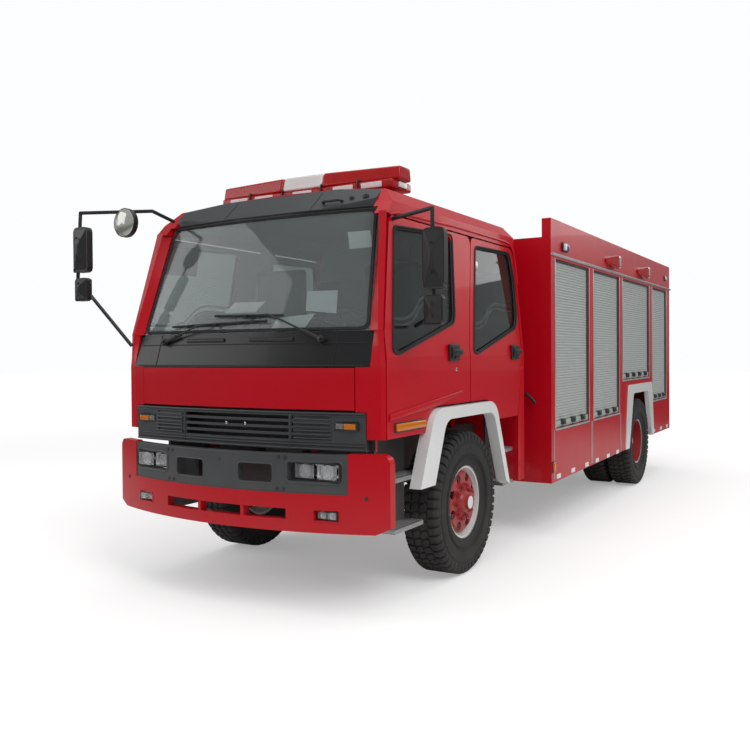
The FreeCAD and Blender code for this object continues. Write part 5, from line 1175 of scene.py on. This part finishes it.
def dressCabSides():
    crease = [(1.0915, behind(-1.165), 1.246), (1.0915, behind(-0.120), 1.352), (1.0915, behind(-0.100), 1.338),
              (1.0915, behind(-0.52), 1.262), (1.0915, behind(-0.92), 1.228), (1.0915, behind(-1.165), 1.205)]
    wedge = addPanel("crease", crease, (0.010, 0, 0), edge=0.0075, segments=4)
    finishDoorPiece(wedge, "doorCrease", "redPaint", "front_door_")
    lampY = (behind(-1.094), behind(-0.702))
    base = addBlock("sideLampBase", (1.090, lampY[0] - 0.008, 1.128), (1.097, lampY[1] + 0.008, 1.192), 0.006, 3)
    finishDoorPiece(base, "sideLampBase", "blackPlastic", "front_door_")
    globe = addBlock("sideLampGlobe", (1.094, lampY[0], 1.136), (1.112, lampY[1], 1.184), 0.009, 4)
    finishDoorPiece(globe, "sideLampGlobe", "lensAmber", "front_door_")
    run = ((-1.00, 2.502), (-0.90, 2.528), (0.0, 2.548), (0.95, 2.548), (1.08, 2.520), (1.115, 2.40), (1.120, 2.20))
    lip = addPipe("gutter", [(leanX(z) + 0.003, behind(b), z) for b, z in run], 0.008, bend=0.08, sides=3)
    for twin in bothSides(lip, "gutterLeft", "gutterRight"):
        finishPiece(twin, materials["redPaint"])
    bends = ((1.010, 1.406, 1.262), (1.012, 1.380, 1.258), (1.060, 1.372, 1.226), (1.108, 1.372, 1.176))
    rod = addPipe("bodyRod", [(x, behind(station), z) for x, station, z in bends], 0.012, bend=0.02, sides=4)
    finishPiece(rod, materials["blackPlastic"])


dressCabSides()
print("doors dressed")


# Light bar: tinted covers over reflectors, on a red base with dark feet

lightBar = {"front": -3.050, "rear": -2.754, "low": 2.838, "high": 2.944, "bowlZ": 2.885, "feet": (-0.62, 0.62),
            "clips": (-0.49, -0.18, 0.175, 0.49), "baseLamps": (-0.60, -0.36, 0.0, 0.36, 0.60),
            "bowls": (-0.66, -0.46, -0.28, -0.09, 0.085, 0.28, 0.46, 0.66)}


def taperedCover(name, near, far, ends):  # a cover that narrows upward, and toward each named end
    bar = lightBar
    cover = addBlock(name, (near, bar["front"], bar["low"]), (far, bar["rear"], bar["high"]), 0.0)
    pickFaces(cover, lambda centre, normal: normal.z > 0.9)
    bpy.ops.transform.resize(value=(1, 0.80, 1))
    bpy.ops.object.mode_set(mode="OBJECT")
    for end in ends:
        pickFaces(cover, lambda centre, normal: normal.x * end > 0.9)
        bpy.ops.transform.resize(value=(1, 0.62, 0.90))
        bpy.ops.object.mode_set(mode="OBJECT")
    return roundEdges(cover, 0.016, 4)


def makeLightBar():
    parts = {"lensRed": [taperedCover("cover", 0.178, 0.800, (1,)), taperedCover("cover", -0.800, -0.183, (-1,))],
             "lensWhite": [taperedCover("cover", -0.178, 0.173, ())]}
    parts["lensRed"].append(addBlock("barBase", (-0.772, -3.040, 2.776), (0.772, -2.764, 2.840), 0.014, 3))
    dark = []
    for x in lightBar["feet"]:
        dark.append(addBlock("barFoot", (x - 0.045, -2.985, 2.730), (x + 0.045, -2.819, 2.780), 0.010, 3))
    for x in lightBar["clips"]:
        dark.append(addBlock("barClip", (x - 0.004, -3.0515, 2.800), (x + 0.004, -2.7525, 2.858), 0.002))
    shine, glazing = [], []
    for x in lightBar["baseLamps"]:
        glazing.append(addBlock("baseLamp", (x - 0.085, -3.046, 2.788), (x + 0.085, -3.036, 2.828), 0.006, 3))
    for side in (-1, 1):
        glazing.append(addBlock("endLamp", (side * 0.776 - 0.008, -2.960, 2.790),
                                (side * 0.776 + 0.008, -2.850, 2.830), 0.005, 3))
    z = lightBar["bowlZ"]
    for x in lightBar["bowls"]:
        shine.append(addBowl("barBowl", (x, -2.960, z), 0.034, 0.045))
        shine.append(addRod("barBulb", (x, -2.925, z), (x, -2.950, z), 0.007, 12, 0.002))
    parts["lensWhite"] += glazing
    parts.update({"blackPlastic": dark, "chrome": shine})
    for finish, group in parts.items():
        piece = finishPiece(joinPieces("lightBar" + finish[0].upper() + finish[1:], group), materials[finish])
        if finish == "blackPlastic":
            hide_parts("light_bar")


makeLightBar()
print("light bar made")


# Mirrors: glass on the rear of each head, a raised back and a grey lower rim

mirrorHeads = {  # each head's low and high x and z, then its front and rear y
    "Left": ((1.290, 1.440, 2.010, 2.380, -3.590, -3.540), (1.295, 1.425, 1.790, 1.975, -3.590, -3.540)),
    "Right": ((-1.440, -1.290, 2.230, 2.560, -3.912, -3.862), (-1.425, -1.295, 2.020, 2.190, -3.912, -3.862)),
}


def dressMirrors():
    for side, heads in mirrorHeads.items():
        backs, glasses, rims = [], [], []
        for left, right, low, high, front, rear in heads:
            back = addBlock("back", (left + 0.004, front - 0.034, low + 0.004),
                            (right - 0.004, front + 0.004, high - 0.004), 0.0)
            pickFaces(back, lambda centre, normal: normal.y < -0.9)
            bpy.ops.transform.resize(value=(0.14, 1, 0.20))
            bpy.ops.object.mode_set(mode="OBJECT")
            backs.append(roundEdges(back, 0.004, 3))
            glasses.append(addBlock("glass", (left + 0.009, rear - 0.002, low + 0.009),
                                    (right - 0.009, rear + 0.003, high - 0.009), 0.002, 3))
            ring = [(left + 0.006, front - 0.001, low + 0.030), (left + 0.006, front - 0.001, low + 0.003),
                    (right - 0.006, front - 0.001, low + 0.003), (right - 0.006, front - 0.001, low + 0.030)]
            rims.append(addPipe("rim", ring, 0.0045, bend=0.02, sides=3))
            for z in (low + 0.25 * (high - low), low + 0.75 * (high - low)):
                backs.append(addRod("clampBolt", (left + 0.075, front - 0.030, z), (left + 0.075, front - 0.042, z),
                                    0.009, 6, 0.001))
        if side == "Right":
            domeX, domeY, domeZ = -1.080, -3.757, 2.590
            dome = ((0.100, 0), (0.094, -0.007), (0.062, -0.018), (0.030, -0.023), (0.0005, -0.025))
            profile = [(domeX + out, domeY + along, domeZ) for out, along in dome]
            glasses.append(addSpun("domeGlass", profile, (domeX, domeY, domeZ), (0, 1, 0), steps=48))
            rim = ((0.099, 0.005), (0.106, 0.001), (0.106, 0.035), (0.099, 0.037))
            edge = [(domeX + out, domeY + along, domeZ) for out, along in rim]
            backs.append(addSpun("domeRim", edge, (domeX, domeY, domeZ), (0, 1, 0), steps=48))
        finishPiece(joinPieces("mirrorBacks" + side, backs), materials["blackPlastic"])
        finishPiece(joinPieces("mirrorGlass" + side, glasses), materials["mirrorGlass"])
        finishPiece(joinPieces("mirrorRims" + side, rims), materials["castGrey"])


dressMirrors()
print("mirrors dressed")


# Steps, monitor bolts and rear shutter

def castOn(name, origin, direction, fallback):  # where a line from origin meets a node
    hit, place, normal, face = frame["nodes"][name].ray_cast(Vector(origin), Vector(direction))
    return place if hit else Vector(fallback)


def makeStuds(name, low, high, z, pitch=0.030):  # rows of raised studs that grip a boot
    stud = addRod(name, (low[0] + pitch / 2, low[1] + pitch / 2, z - 0.001),
                  (low[0] + pitch / 2, low[1] + pitch / 2, z + 0.0035), 0.0085, 8, 0.0, 0.006)
    for axis, span in ((0, high[0] - low[0]), (1, high[1] - low[1])):
        step = [0, 0, 0]
        step[axis] = pitch
        useModifier(stud, "ARRAY", count=max(1, int(span / pitch)), use_relative_offset=False,
                    use_constant_offset=True,
                    constant_offset_displace=step)
    return stud


def dressSteps():
    studs = []
    for near, far in ((-3.512, -3.136), (-1.748, -1.521)):
        for start in (1.00, 0.70):  # above the upper tread, then between the two
            top = castOn("steps", (0.97, (near + far) / 2, start), (0, 0, -1), (0.97, near, 0.5)).z
            studs.append(makeStuds("stud", (0.904, near), (1.043, far), top))
            for y in (near + 0.004, far - 0.010):
                studs.append(addBlock("treadEdge", (0.902, y, top - 0.001), (1.044, y + 0.006, top + 0.005), 0.002))
    for twin in bothSides(joinPieces("treadStuds", studs), "treadStudsLeft", "treadStudsRight"):
        finishPiece(twin, materials["treadPlate"])


def dressMonitor():
    monitor = {"y": 3.128, "circle": 0.088, "bolts": 8, "deck": 2.650, "top": 2.666}
    bolts = []
    for index in range(monitor["bolts"]):
        angle = math.radians(360 / monitor["bolts"] * index + 22.5)
        x, y = math.cos(angle) * monitor["circle"], monitor["y"] + math.sin(angle) * monitor["circle"]
        bolts.append(addRod("flangeBolt", (x, y, monitor["deck"]), (x, y, monitor["top"]), 0.011, 6, 0.001))
    finishPiece(joinPieces("flangeBolts", bolts), materials["castGrey"])


def makeRearCurtain():
    slat = {"pitch": 0.0250, "low": 1.122, "top": 2.290, "half": 0.630, "face": 3.9140, "bar": 1.064}
    face, base, pitch, low = slat["face"], slat["low"], slat["pitch"], slat["bar"]
    shape = [(face, base), (face + 0.003, base + 0.0035), (face + 0.005, base + pitch * 0.36),
             (face + 0.005, base + pitch * 0.68), (face + 0.003, base + pitch - 0.0035), (face, base + pitch - 0.001)]
    strip = addPanel("rearCurtain", [(-slat["half"], y, z) for y, z in shape], (2 * slat["half"], 0, 0), edge=0)
    useModifier(strip, "ARRAY", count=int((slat["top"] - base) / pitch), use_relative_offset=False,
                use_constant_offset=True,
                constant_offset_displace=(0, 0, pitch))
    bar = addBlock("rearBar", (-0.632, face, low), (0.632, face + 0.012, low + 0.054), 0.004)
    finishPiece(joinPieces("rearCurtain", [strip, bar]), materials["curtainMetal"])
    guides = [addBlock("rearGuide", (x - 0.011, face - 0.004, low), (x + 0.011, face + 0.012, 2.296), 0.003)
              for x in (-0.641, 0.641)]
    guides.append(addBlock("rearSeal", (-0.63, face, 2.284), (0.63, face + 0.010, 2.297), 0.003))
    finishPiece(joinPieces("rearGuides", guides), materials["darkTrim"])


dressSteps()
dressMonitor()
makeRearCurtain()
print("steps, monitor and rear dressed")


# Seats: foam pads in stitched covers, on dark plinths

def puffPad(pad, cap):  # the cover swells on its foam, and no point moves further than cap
    rest = [point.co.copy() for point in pad.data.vertices]
    makeActive(pad)
    swell = pad.modifiers.new("Swell", "CLOTH")
    swell.settings.quality = 5
    swell.settings.mass = 0.3
    swell.settings.use_pressure = True
    swell.settings.uniform_pressure_force = 4.0
    swell.settings.effector_weights.gravity = 0
    for step in range(1, 21):
        bpy.context.scene.frame_set(step)
    makeActive(pad)
    bpy.ops.object.modifier_apply(modifier=swell.name)
    bpy.context.scene.frame_set(1)
    for point, start in zip(pad.data.vertices, rest):
        moved = point.co - start
        if moved.length > cap:
            point.co = start + moved.normalized() * cap


def addPad(name, low, high, cap=0.012, voxel=0.011):
    inset = Vector((cap * 0.8, cap * 0.8, cap * 0.8))
    pad = addBlock(name, Vector(low) + inset, Vector(high) - inset, 0.028, 4)
    pad.data.remesh_voxel_size = voxel
    makeActive(pad)
    bpy.ops.object.voxel_remesh()
    puffPad(pad, cap)
    useModifier(pad, "SMOOTH", factor=0.5, iterations=2)
    useModifier(pad, "SUBSURF", levels=1, render_levels=1)
    makeActive(pad)
    bpy.ops.object.shade_smooth()
    return pad


def seamOn(pad, points, away, radius=0.0035):  # stitching laid on a pad's cover
    placed = []
    for point in points:
        hit, place, normal, face = pad.ray_cast(Vector(point), Vector(away))
        if hit:
            placed.append(place)
    return addPipe("seam", placed, radius, bend=0.01, sides=2)


seatShape = {"front": -3.046, "rear": -2.556, "back": -2.676}
benchShape = {"front": -1.926, "rear": -1.456, "back": -1.576}
seatLevels = {"floor": 1.207, "cushion": 1.625, "top": 2.320}


def makeSeat(label, left, right, shape, channels):
    front, rear, back = shape["front"], shape["rear"], shape["back"]
    floor, cushionTop, backTop = seatLevels["floor"], seatLevels["cushion"], seatLevels["top"]
    plinth = [addBlock("plinth", (left + 0.03, front + 0.03, floor), (right - 0.03, back - 0.01, cushionTop - 0.135),
                       0.012, 3),
              addBlock("runner", (left + 0.05, front + 0.01, floor), (left + 0.08, rear - 0.02, floor + 0.02), 0.004),
              addBlock("runner", (right - 0.08, front + 0.01, floor), (right - 0.05, rear - 0.02, floor + 0.02),
                       0.004)]
    finishPiece(joinPieces(label + "Plinth", plinth), materials["dashPlastic"])
    cushion = addPad(label + "Cushion", (left, front, cushionTop - 0.135), (right, back, cushionTop))
    upright = addPad(label + "Back", (left, back, cushionTop - 0.12), (right, rear, backTop))
    seams = []
    spread = [share / 6 for share in range(7)]
    for index in range(1, channels):
        x = left + (right - left) * index / channels
        across = [(x, front + 0.05 + (back - front - 0.08) * share, cushionTop + 0.1) for share in spread]
        upward = [(x, back - 0.1, cushionTop + 0.03 + (backTop - cushionTop - 0.08) * share) for share in spread]
        seams.append(seamOn(cushion, across, (0, 0, -1)))
        seams.append(seamOn(upright, upward, (0, 1, 0)))
    finishPiece(joinPieces(label + "Seams", seams), materials["seatVinyl"])
    for pad in (cushion, upright):
        finishPiece(pad, materials["seatCloth"])
    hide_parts("seats")


makeSeat("seatLeft", 0.275, 0.765, seatShape, 3)
makeSeat("seatRight", -0.765, -0.275, seatShape, 3)
makeSeat("bench", -0.945, 0.945, benchShape, 6)
print("seats made")


# Blank papers behind the glass, side shades and a badge on the rear side windows

def addSheet(name, corners):  # a sheet laid against the inside of the glass
    behindGlass = [(x, faceY("windshield", x, z, -3.6) + 0.014, z) for x, z in corners]
    return addPanel(name, behindGlass, (0, 0.0006, 0), edge=0)


paperCorners = {
    "sticker": ((0.69, 2.414), (0.848, 2.417), (0.882, 2.303), (0.726, 2.298)),
    "notice": ((0.470, 2.031), (0.694, 2.027), (0.712, 1.878), (0.486, 1.900)),
    "slip": ((-0.110, 1.974), (0.155, 1.972), (0.088, 1.902), (-0.185, 1.903)),
    "card": ((0.274, 1.859), (0.560, 1.880), (0.505, 1.792), (0.250, 1.790)),
}
shadeCorners = ((-0.975, 2.440), (-0.64, 2.452), (-0.66, 2.235), (-1.020, 2.225))


def makePapers():
    sheets = [addSheet(name, corners) for name, corners in paperCorners.items()]
    finishPiece(joinPieces("papers", sheets), materials["paper"])
    outline = [(leanX(z) - 0.076, behind(b), z) for b, z in shadeCorners]
    shade = addPanel("shade", outline, (-0.010, 0, 0), edge=0.003)
    for twin in bothSides(shade, "sideShadeLeft", "sideShadeRight"):
        finishPiece(twin, materials["blackPlastic"])
    x, y, z = leanX(2.30) - 0.020, behind(0.345), 2.30
    badge = addRod("badge", (x - 0.001, y, z), (x + 0.0008, y, z), 0.030, 28, 0.0004)
    finishDoorPiece(badge, "windowBadge", "paper", "rear_door_")


makePapers()
print("papers placed")


# Camera, light and floor

view = {"place": (3.6146, -7.994, 1.6247), "yaw": 0.52, "pitch": -0.0152, "roll": -0.0067, "lens": 39.4,
        "shiftX": -0.0259, "shiftY": -0.0127}
lamps = {
    "mainLight": {"place": (9, -7, 10), "target": (0, 0, 1.2), "size": (7, 7), "power": 700},
    "fillLight": {"place": (-9, -9, 6), "target": (0, -2, 1.2), "size": (8, 6), "power": 260},
    "topLight": {"place": (0, 0, 12), "target": (0, 0, 0), "size": (10, 14), "power": 420},
    "rearLight": {"place": (4, 13, 7), "target": (0, 2, 1.5), "size": (8, 5), "power": 220},
}


def addCamera():
    bpy.ops.object.camera_add(location=view["place"])
    camera = bpy.context.object
    yaw, pitch, roll = view["yaw"], view["pitch"], view["roll"]
    ahead = Vector((-math.sin(yaw) * math.cos(pitch), math.cos(yaw) * math.cos(pitch), math.sin(pitch)))
    level = Vector((math.cos(yaw), math.sin(yaw), 0))
    upright = level.cross(ahead)
    right = level * math.cos(roll) + upright * math.sin(roll)
    up = upright * math.cos(roll) - level * math.sin(roll)
    camera.rotation_mode = "QUATERNION"
    camera.rotation_quaternion = Matrix((right, up, -ahead)).transposed().to_quaternion()
    camera.data.lens = view["lens"]
    camera.data.shift_x = view["shiftX"]
    camera.data.shift_y = view["shiftY"]
    camera.data.clip_start, camera.data.clip_end = 0.1, 200
    bpy.context.scene.camera = camera


def addLamp(name, place, target, size, power):
    bpy.ops.object.light_add(type="AREA", location=place)
    lamp = bpy.context.object
    lamp.name = name
    lamp.data.shape = "RECTANGLE"
    lamp.data.size, lamp.data.size_y = size
    lamp.data.energy = power
    lamp.rotation_mode = "QUATERNION"
    lamp.rotation_quaternion = (Vector(target) - Vector(place)).to_track_quat("-Z", "Y")


def makeWorld():
    world = bpy.data.worlds.new("paleRoom")
    world.use_nodes = True
    tree = world.node_tree
    background = tree.nodes["Background"]
    path = addNode(tree, "LightPath")
    background.inputs["Color"].default_value = (0.98, 0.99, 1.0, 1)
    dimmed = mathNode(tree, "SUBTRACT", 0.58, mathNode(tree, "MULTIPLY", path.outputs["Is Glossy Ray"], 0.22))
    strength = mathNode(tree, "MAXIMUM", path.outputs["Is Camera Ray"], dimmed)
    tree.links.new(strength, background.inputs["Strength"])
    bpy.context.scene.world = world


def addFloor():
    bpy.ops.mesh.primitive_plane_add(size=120, location=(0, 0, -0.001))
    ground = bpy.context.object
    ground.name = "floor"
    material, tree, shader, place = startMaterial("floorPale")
    colour = useGroup(tree, "tone", colour=(0.78, 0.78, 0.77, 1), scale=0.4, amount=0.03, vector=place)
    flat = addNode(tree, "VectorMath", {0: place}, operation="LENGTH")
    far = addNode(tree, "MapRange", {"Value": flat.outputs["Value"], "From Min": 5.0, "From Max": 13.0},
                  interpolation_type="SMOOTHSTEP")
    faded = mixColour(tree, far.outputs[0], colour, (0, 0, 0, 1))
    tree.links.new(faded, shader.inputs["Base Color"])
    path = addNode(tree, "LightPath")
    glow = addNode(tree, "MapRange", {"Value": far.outputs[0], "To Min": 0.30, "To Max": 1.0})
    tree.links.new(mathNode(tree, "MULTIPLY", glow.outputs[0], path.outputs["Is Camera Ray"]),
                   shader.inputs["Emission Strength"])
    shader.inputs["Emission Color"].default_value = (0.99, 0.99, 0.99, 1)
    shader.inputs["Roughness"].default_value = 0.95
    shader.inputs["Specular IOR Level"].default_value = 0.1
    ground.data.materials.append(material)


addCamera()
makeWorld()
addFloor()
for name, lamp in lamps.items():
    addLamp(name, **lamp)
bpy.context.scene.view_settings.view_transform = "Standard"
print("camera, light and floor made")
